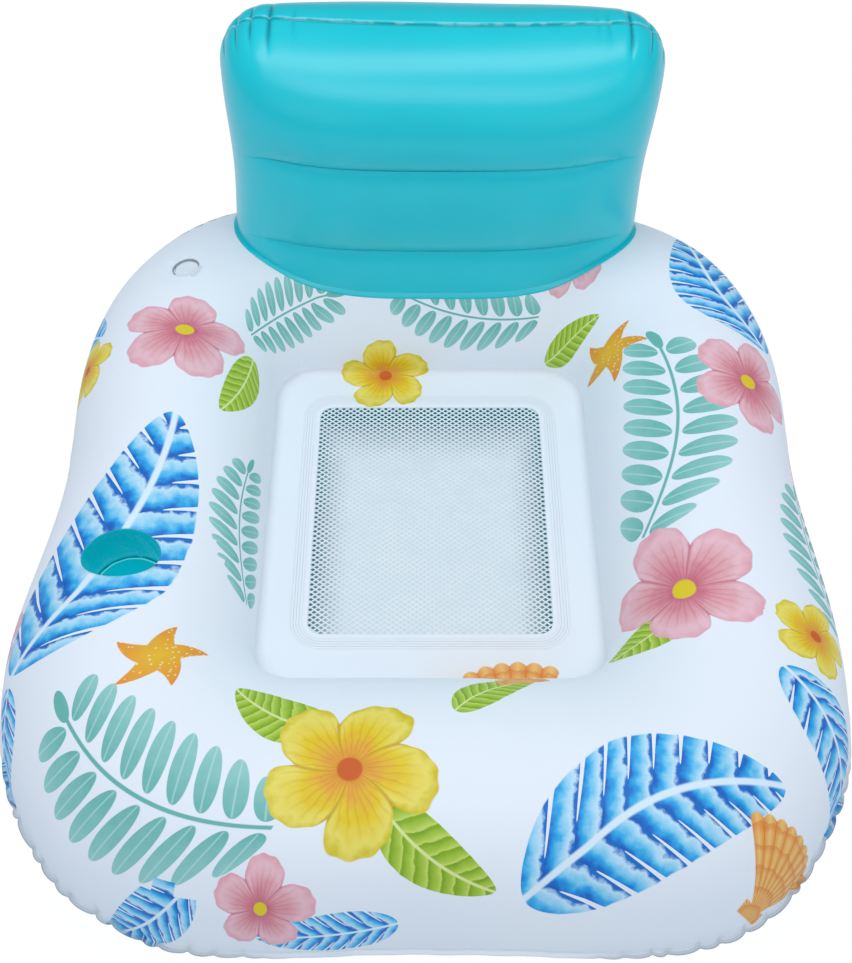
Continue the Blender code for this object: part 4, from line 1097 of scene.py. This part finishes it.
def seat_net(finish):
    """The net, as one diamond repeated over staggered columns with Geometry Nodes."""
    pitch_x, pitch_y = WINDOW_WIDTH / NET_COLUMNS, WINDOW_LENGTH / NET_ROWS
    cell = net_cell(pitch_x, pitch_y, finish)
    tree = bpy.data.node_groups.new("net_pattern", "GeometryNodeTree")
    sockets = {}
    for name, kind, value in (("Column pitch", "NodeSocketFloat", pitch_x), ("Row pitch", "NodeSocketFloat", pitch_y),
                              ("Columns", "NodeSocketInt", NET_COLUMNS + 2 * round(NET_REACH / pitch_x)),
                              ("Rows", "NodeSocketInt", NET_ROWS + 2 * round(NET_REACH / pitch_y))):
        made = tree.interface.new_socket(name, in_out="INPUT", socket_type=kind)
        sockets[made.identifier] = value
    tree.interface.new_socket("Net", in_out="OUTPUT", socket_type="NodeSocketGeometry")
    source = put(tree, "NodeGroupInput")
    across, along = source.output("Column pitch"), source.output("Row pitch")
    columns, rows = source.output("Columns"), source.output("Rows")
    grid = put(tree, "GeometryNodeMeshGrid", {}, {
        "Size X": (columns - 1) * across, "Size Y": (rows - 1) * along, "Vertices X": columns, "Vertices Y": rows})
    column = (put(tree, "GeometryNodeInputIndex") / rows).math("FLOOR")
    shift = put(tree, "ShaderNodeCombineXYZ", {}, {"Y": (column.math("MODULO", 2.0) - 0.5) * along * 0.5})
    moved = put(tree, "GeometryNodeSetPosition", {}, {"Geometry": grid, "Offset": shift})
    shape = put(tree, "GeometryNodeObjectInfo", {}, {"Object": cell}, "Geometry")
    repeated = put(tree, "GeometryNodeInstanceOnPoints", {}, {"Points": moved, "Instance": shape})
    real = put(tree, "GeometryNodeRealizeInstances", {}, {"Geometry": repeated})
    joined = put(tree, "GeometryNodeMergeByDistance", {}, {"Geometry": real, "Distance": WELDED})
    coloured = put(tree, "GeometryNodeSetMaterial", {}, {"Geometry": joined, "Material": finish})
    tree.links.new(coloured.socket, tree.nodes.new("NodeGroupOutput").inputs["Net"])
    item = linked("seat_net_mesh", bpy.data.meshes.new("seat_net_mesh"), finish)
    pattern = item.modifiers.new("pattern", "NODES")
    pattern.node_group = tree
    for identifier, value in sockets.items():
        pattern[identifier] = value
    baked(item)
    bpy.data.objects.remove(cell)
    item.data.transform(Matrix.Translation((CENTRE.x, CENTRE.y + WINDOW_CENTRE_Y, SEAM_HEIGHT)))
    item.data.shade_flat()
    return item


def weld_band(finish):
    """The flat band welded under the lower sheet, round the window."""
    level = SEAM_HEIGHT - NET_THICKNESS / 2 - GAP - SHEET - GAP
    x, y, direction = ring_stations(240)
    rows = []
    for wide in np.array([0, 0.4, 1.2, 6, 10, 13.2, 14]) * MM:
        spots = corner_points(x, y, direction, WINDOW_WIDTH + 2 * wide, WINDOW_LENGTH + 2 * wide,
                              WINDOW_CORNER + wide, WINDOW_CENTRE_Y)
        rows.append(at_level(spots + PLAN_CENTRE, level))
    return grid_mesh("net_weld_band", np.stack(rows, axis=1), finish, closed=True)


# Cup well

CUP_SIDES, CUP_WALL_ROWS = 200, 24
CUP_TURNS = 2 * math.pi * np.arange(CUP_SIDES) / CUP_SIDES
CUP_CENTRE = np.array([CUP_X + CENTRE.x, CUP_Y + CENTRE.y])
# The collar under the sheet: how far out from the mouth and how far under the sheet, in millimetres
CUP_COLLAR = ((7, 0.3), (5, 0.3), (3, 0.3), (1.2, 0.4), (0.2, 0.9), (-0.3, 1.8))
CUP_FLOOR_SHARES = (0.02, 0.15, 0.3, 0.45, 0.6, 0.72, 0.82, 0.88, 0.91, 0.94, 0.97, 1.0)
CUP_WELD_SHARE = 0.92


def cup_ring(half_x, half_y):
    return CUP_CENTRE + np.stack([half_x * np.cos(CUP_TURNS), half_y * np.sin(CUP_TURNS)], axis=1)


def cup_wall(ring_tree, crest, finish):
    """The well's wall with its collar under the sheet: an oval mouth that turns into a round floor."""
    rows = []
    for wide, drop in CUP_COLLAR:
        spots = cup_ring(CUP_MOUTH[0] + wide * MM, CUP_MOUTH[1] + wide * MM)
        heights = np.array([height_of(ring_tree, spot) - drop * MM - SHEET for spot in spots])
        rows.append(np.concatenate([spots, heights[:, None]], axis=1))
    edge = rows[-1]
    dents = swayed(np.cos(CUP_TURNS) * 0.10, np.sin(CUP_TURNS) * 0.10, 61)
    seam = np.exp(-((CUP_TURNS - 1.45) / 0.05) ** 2) * -0.9 * MM
    for way in np.linspace(0, 1, CUP_WALL_ROWS + 1)[1:]:
        share = max(0.0, (way * CUP_DEPTH - CUP_NECK) / (CUP_DEPTH - CUP_NECK))
        bellied = math.sin(share * math.pi / 2)
        half = [a - 0.3 * MM + (CUP_FLOOR_RADIUS - a) * bellied for a in CUP_MOUTH]
        level = edge[:, 2] * (1 - way) + (crest - CUP_DEPTH) * way
        bulge = (dents * 1.6 + 0.7 * np.sin(CUP_TURNS * 9 + way * 4)) * MM * math.sin(math.pi * way)
        spots = cup_ring(half[0] + bulge + seam, half[1] + bulge + seam)
        rows.append(np.concatenate([spots, level[:, None]], axis=1))
    return grid_mesh("cup_well_wall", np.stack(rows, axis=1), finish, closed=True)


def cup_floor(crest, finish):
    """The well's domed floor, with the ridge of its weld round the edge."""
    rows = []
    for share in CUP_FLOOR_SHARES:
        radius = (CUP_FLOOR_RADIUS - GAP - SHEET) * share
        level = crest - CUP_DEPTH + CUP_FLOOR_CROWN * math.cos(share * math.pi / 2)
        level += 0.9 * MM * math.exp(-((share - CUP_WELD_SHARE) / 0.025) ** 2)
        ripple = 0.5 * MM * np.sin(CUP_TURNS * 15) * max(0.0, share - 0.5)
        rows.append(np.concatenate([cup_ring(radius, radius), (level + ripple)[:, None]], axis=1))
    item = grid_mesh("cup_well_floor", np.stack(rows, axis=1), finish, closed=True)
    with edited(item.data) as shape:
        rim = [edge for edge in shape.edges if edge.is_boundary and max(
            math.dist(v.co[:2], CUP_CENTRE) for v in edge.verts) < 5 * MM]
        bmesh.ops.holes_fill(shape, edges=rim)
    return item


# Valves, with their sizes in millimetres

VALVE_SIDES = 72
RECESS, RECESS_WALL, RECESS_DEPTH, RECESS_FLOOR = VALVE_RECESS_RADIUS / MM - 0.2, 0.9, 7.5, 1.2
COLLAR = RECESS + RECESS_WALL + 5.6
THROAT, THROAT_WALL, THROAT_TAIL = 8, 1.2, 5.3
LID_TOP, LID_RADIUS, LID_THICKNESS, PLUG = -3.0, 16.5, 1.6, 7.6
LID_FLAT, LID_FLAT_HALF = 15.2, 9             # the lid's edge is pressed flat here, towards its hinge
SHADED = (-3, -0.8)                           # heights of the recess's wall that look grey
BASE_VALVE_AXES = ((-0.9848, -0.01356, -0.17315), (0, -0.99695, 0.07807), (-0.17368, 0.07689, 0.9818))
BACK_VALVE_AXES = ((-0.02345, -0.16653, -0.98576), (-0.99023, 0.13945, 0), (0.13746, 0.97613, -0.16817))
# The sheet is flat round a valve up to the first distance and back in its own form from the second
VALVE_FLAT, VALVE_FREE = 21 * MM, 46 * MM


def lathe(name, profile, place, finish):
    """A closed turned piece from (radius, height) points in millimetres, listed so that its faces turn outwards."""
    points = []
    for k in range(VALVE_SIDES):
        turn = 2 * math.pi * k / VALVE_SIDES
        points += [place @ Vector((radius * MM * math.cos(turn), radius * MM * math.sin(turn), z * MM))
                   for radius, z in profile]
    count = len(profile)
    faces = []
    for k in range(VALVE_SIDES):
        a, b = k * count, (k + 1) % VALVE_SIDES * count
        faces += [(a + row, b + row, b + (row + 1) % count, a + (row + 1) % count) for row in range(count)]
    mesh = bpy.data.meshes.new(name)
    mesh.from_pydata(points, [], faces)
    with edited(mesh) as shape:
        bmesh.ops.remove_doubles(shape, verts=shape.verts, dist=0.005 * MM)
        bmesh.ops.recalc_face_normals(shape, faces=shape.faces)
    return linked(name, mesh, finish)


def press_lid_flat(lid, place):
    back = place.inverted()
    for vertex in lid.data.vertices:
        local = back @ vertex.co
        if local.x > LID_FLAT * MM and abs(local.y) < LID_FLAT_HALF * MM:
            local.x = LID_FLAT * MM
            vertex.co = place @ local


def strip_block(name, low, high, place, finish):
    """A small block with rounded edges between two corners in millimetres."""
    mesh = bpy.data.meshes.new(name)
    with edited(mesh) as shape:
        bmesh.ops.create_cube(shape, size=1)
        for vertex in shape.verts:
            vertex.co = place @ Vector([((a + b) / 2 + (b - a) * c) * MM for a, b, c in zip(low, high, vertex.co)])
        bmesh.ops.bevel(shape, geom=shape.edges[:], offset=0.2 * MM, segments=2, profile=0.6, affect="EDGES")
    return linked(name, mesh, finish)


def valve(prefix, place, finish):
    """A flush valve at a place whose Z points out of the sheet and whose X points at the hinge."""
    under, floor, edge = -(SHEET + GAP) / MM, -RECESS_DEPTH, RECESS + RECESS_WALL
    bottom = floor - RECESS_FLOOR - THROAT_TAIL
    tube = THROAT + THROAT_WALL
    housing = lathe(prefix + "_valve_housing", [
        (RECESS, -0.9), (RECESS, 0.25), (RECESS + 0.35, 0.5), (RECESS + 0.9, 0.5), (RECESS + 1.3, 0.15),
        (RECESS + 1.3, under), (COLLAR, under), (COLLAR, under - 0.8), (edge, under - 0.8),
        (edge, floor - RECESS_FLOOR + 0.6), (edge - 0.6, floor - RECESS_FLOOR), (tube, floor - RECESS_FLOOR),
        (tube, bottom + 0.3), (tube - 0.3, bottom), (THROAT, bottom), (THROAT, floor), (THROAT + 1.4, floor),
        (THROAT + 1.8, floor + 0.5), (THROAT + 2.6, floor + 0.5), (THROAT + 3, floor), (RECESS - 0.8, floor),
        (RECESS, floor + 0.8)], place, finish)
    back = place.inverted()
    heights = np.array([(back @ vertex.co).z / MM for vertex in housing.data.vertices])
    # Marks the recess's wall for painted shade
    keep_mark(housing.data, "deep", (heights > SHADED[0]) & (heights < SHADED[1]))
    under_lid = LID_TOP - LID_THICKNESS
    lid = lathe(prefix + "_valve_lid", [
        (0, LID_TOP - 0.2), (7.0, LID_TOP - 0.12), (13.6, LID_TOP), (14.2, LID_TOP + 0.3),
        (LID_RADIUS - 0.7, LID_TOP + 0.3), (LID_RADIUS - 0.2, LID_TOP + 0.1), (LID_RADIUS, LID_TOP - 0.4),
        (LID_RADIUS, under_lid + 0.4), (LID_RADIUS - 0.4, under_lid), (PLUG, under_lid), (PLUG, floor - 0.3),
        (PLUG - 1.6, floor - 3), (0, floor - 3)], place, finish)
    press_lid_flat(lid, place)
    hinge = strip_block(prefix + "_valve_hinge", (15.5, -4, LID_TOP - 1.0), (17.7, 4, LID_TOP - 0.15), place, finish)
    seat = bottom - GAP / MM
    leaf = lathe(prefix + "_valve_leaf", [
        (0, seat), (8.6, seat), (9, seat - 0.3), (8.8, seat - 0.8), (0, seat - 0.8)], place, finish)
    for piece, node, body in ((housing, "body", "chair"), (hinge, "web", "chair"), (lid, "cap", prefix + "_cap"),
                              (leaf, "flap", prefix + "_flap")):
        keep(piece, prefix + "_valve_" + node, body)


# The chair

def keep(piece, node, body="chair"):
    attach(piece, body)
    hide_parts(node)


def build():
    set_stage()
    printed, teal, cup_film = printed_finish(), teal_finish(), cup_finish()
    base_place = axes_at(CENTRE + Vector(BASE_VALVE_SEAT), *BASE_VALVE_AXES)
    back_place = axes_at(CENTRE + Vector(BACK_VALVE_SEAT), *BACK_VALVE_AXES)
    recess = (VALVE_RECESS_RADIUS, VALVE_RECESS_RADIUS, VALVE_SIDES)

    top = ring_sheet("ring_top_sheet", 1, TOP_TURNS, printed)
    ring_tree = tree_of(top)
    crest = height_of(ring_tree, CUP_CENTRE)
    flattened(top, base_place, VALVE_FLAT, VALVE_FREE, -SHEET)
    thicken(top)
    drill(top, *CUP_MOUTH, CUP_SIDES, Matrix.Translation((*CUP_CENTRE, crest)), 20 * MM)
    drill(top, *recess, base_place, 8 * MM)
    find_motifs(top, LEAVES, "leaves", "leaf_kind", 0.56)
    find_motifs(top, BLOOMS, "blooms", "bloom_kind", 1.02)
    bottom = ring_sheet("ring_bottom_sheet", -1, BOTTOM_TURNS, teal)

    front = back_panel("backrest_front", -1, ring_tree, teal)
    rear = back_panel("backrest_rear", 1, ring_tree, teal)
    flattened(rear, back_place, VALVE_FLAT, VALVE_FREE, -SHEET)
    for sheet in (bottom, front, rear):
        thicken(sheet)
    drill(rear, *recess, back_place, 8 * MM)
    foot = foot_panel(ring_tree, teal)
    lower = tie_strip("backrest_lower_strip", LOWER_CREASE, teal)
    upper = tie_strip("backrest_upper_strip", UPPER_CREASE, teal)
    band = weld_band(teal)
    wall = cup_wall(ring_tree, crest, cup_film)
    floor = cup_floor(crest, cup_film)
    for sheet, offset in ((foot, 1), (lower, 0), (upper, 0), (band, 1), (wall, -1), (floor, 1)):
        thicken(sheet, offset)
    net = seat_net(net_finish())

    for piece, node, slot in (
            (top, "base_top_sheet", "print_vinyl"), (bottom, "base_bottom_sheet", "teal_vinyl"),
            (front, "backrest_front_panel", "teal_vinyl"), (rear, "backrest_rear_panel", "teal_vinyl"),
            (foot, "backrest_foot_panel", "teal_vinyl"), (lower, "backrest_lower_tie", "teal_vinyl"),
            (upper, "backrest_upper_tie", "teal_vinyl"), (band, "seat_net_weld_band", "teal_vinyl"),
            (wall, "cup_wall", "cup_vinyl"), (floor, "cup_floor", "cup_vinyl"), (net, "seat_net", "net")):
        keep(piece, node)
    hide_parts("base_net_border")
    moulded = valve_finish()
    valve("base", base_place, moulded)
    valve("backrest", back_place, moulded)


build()
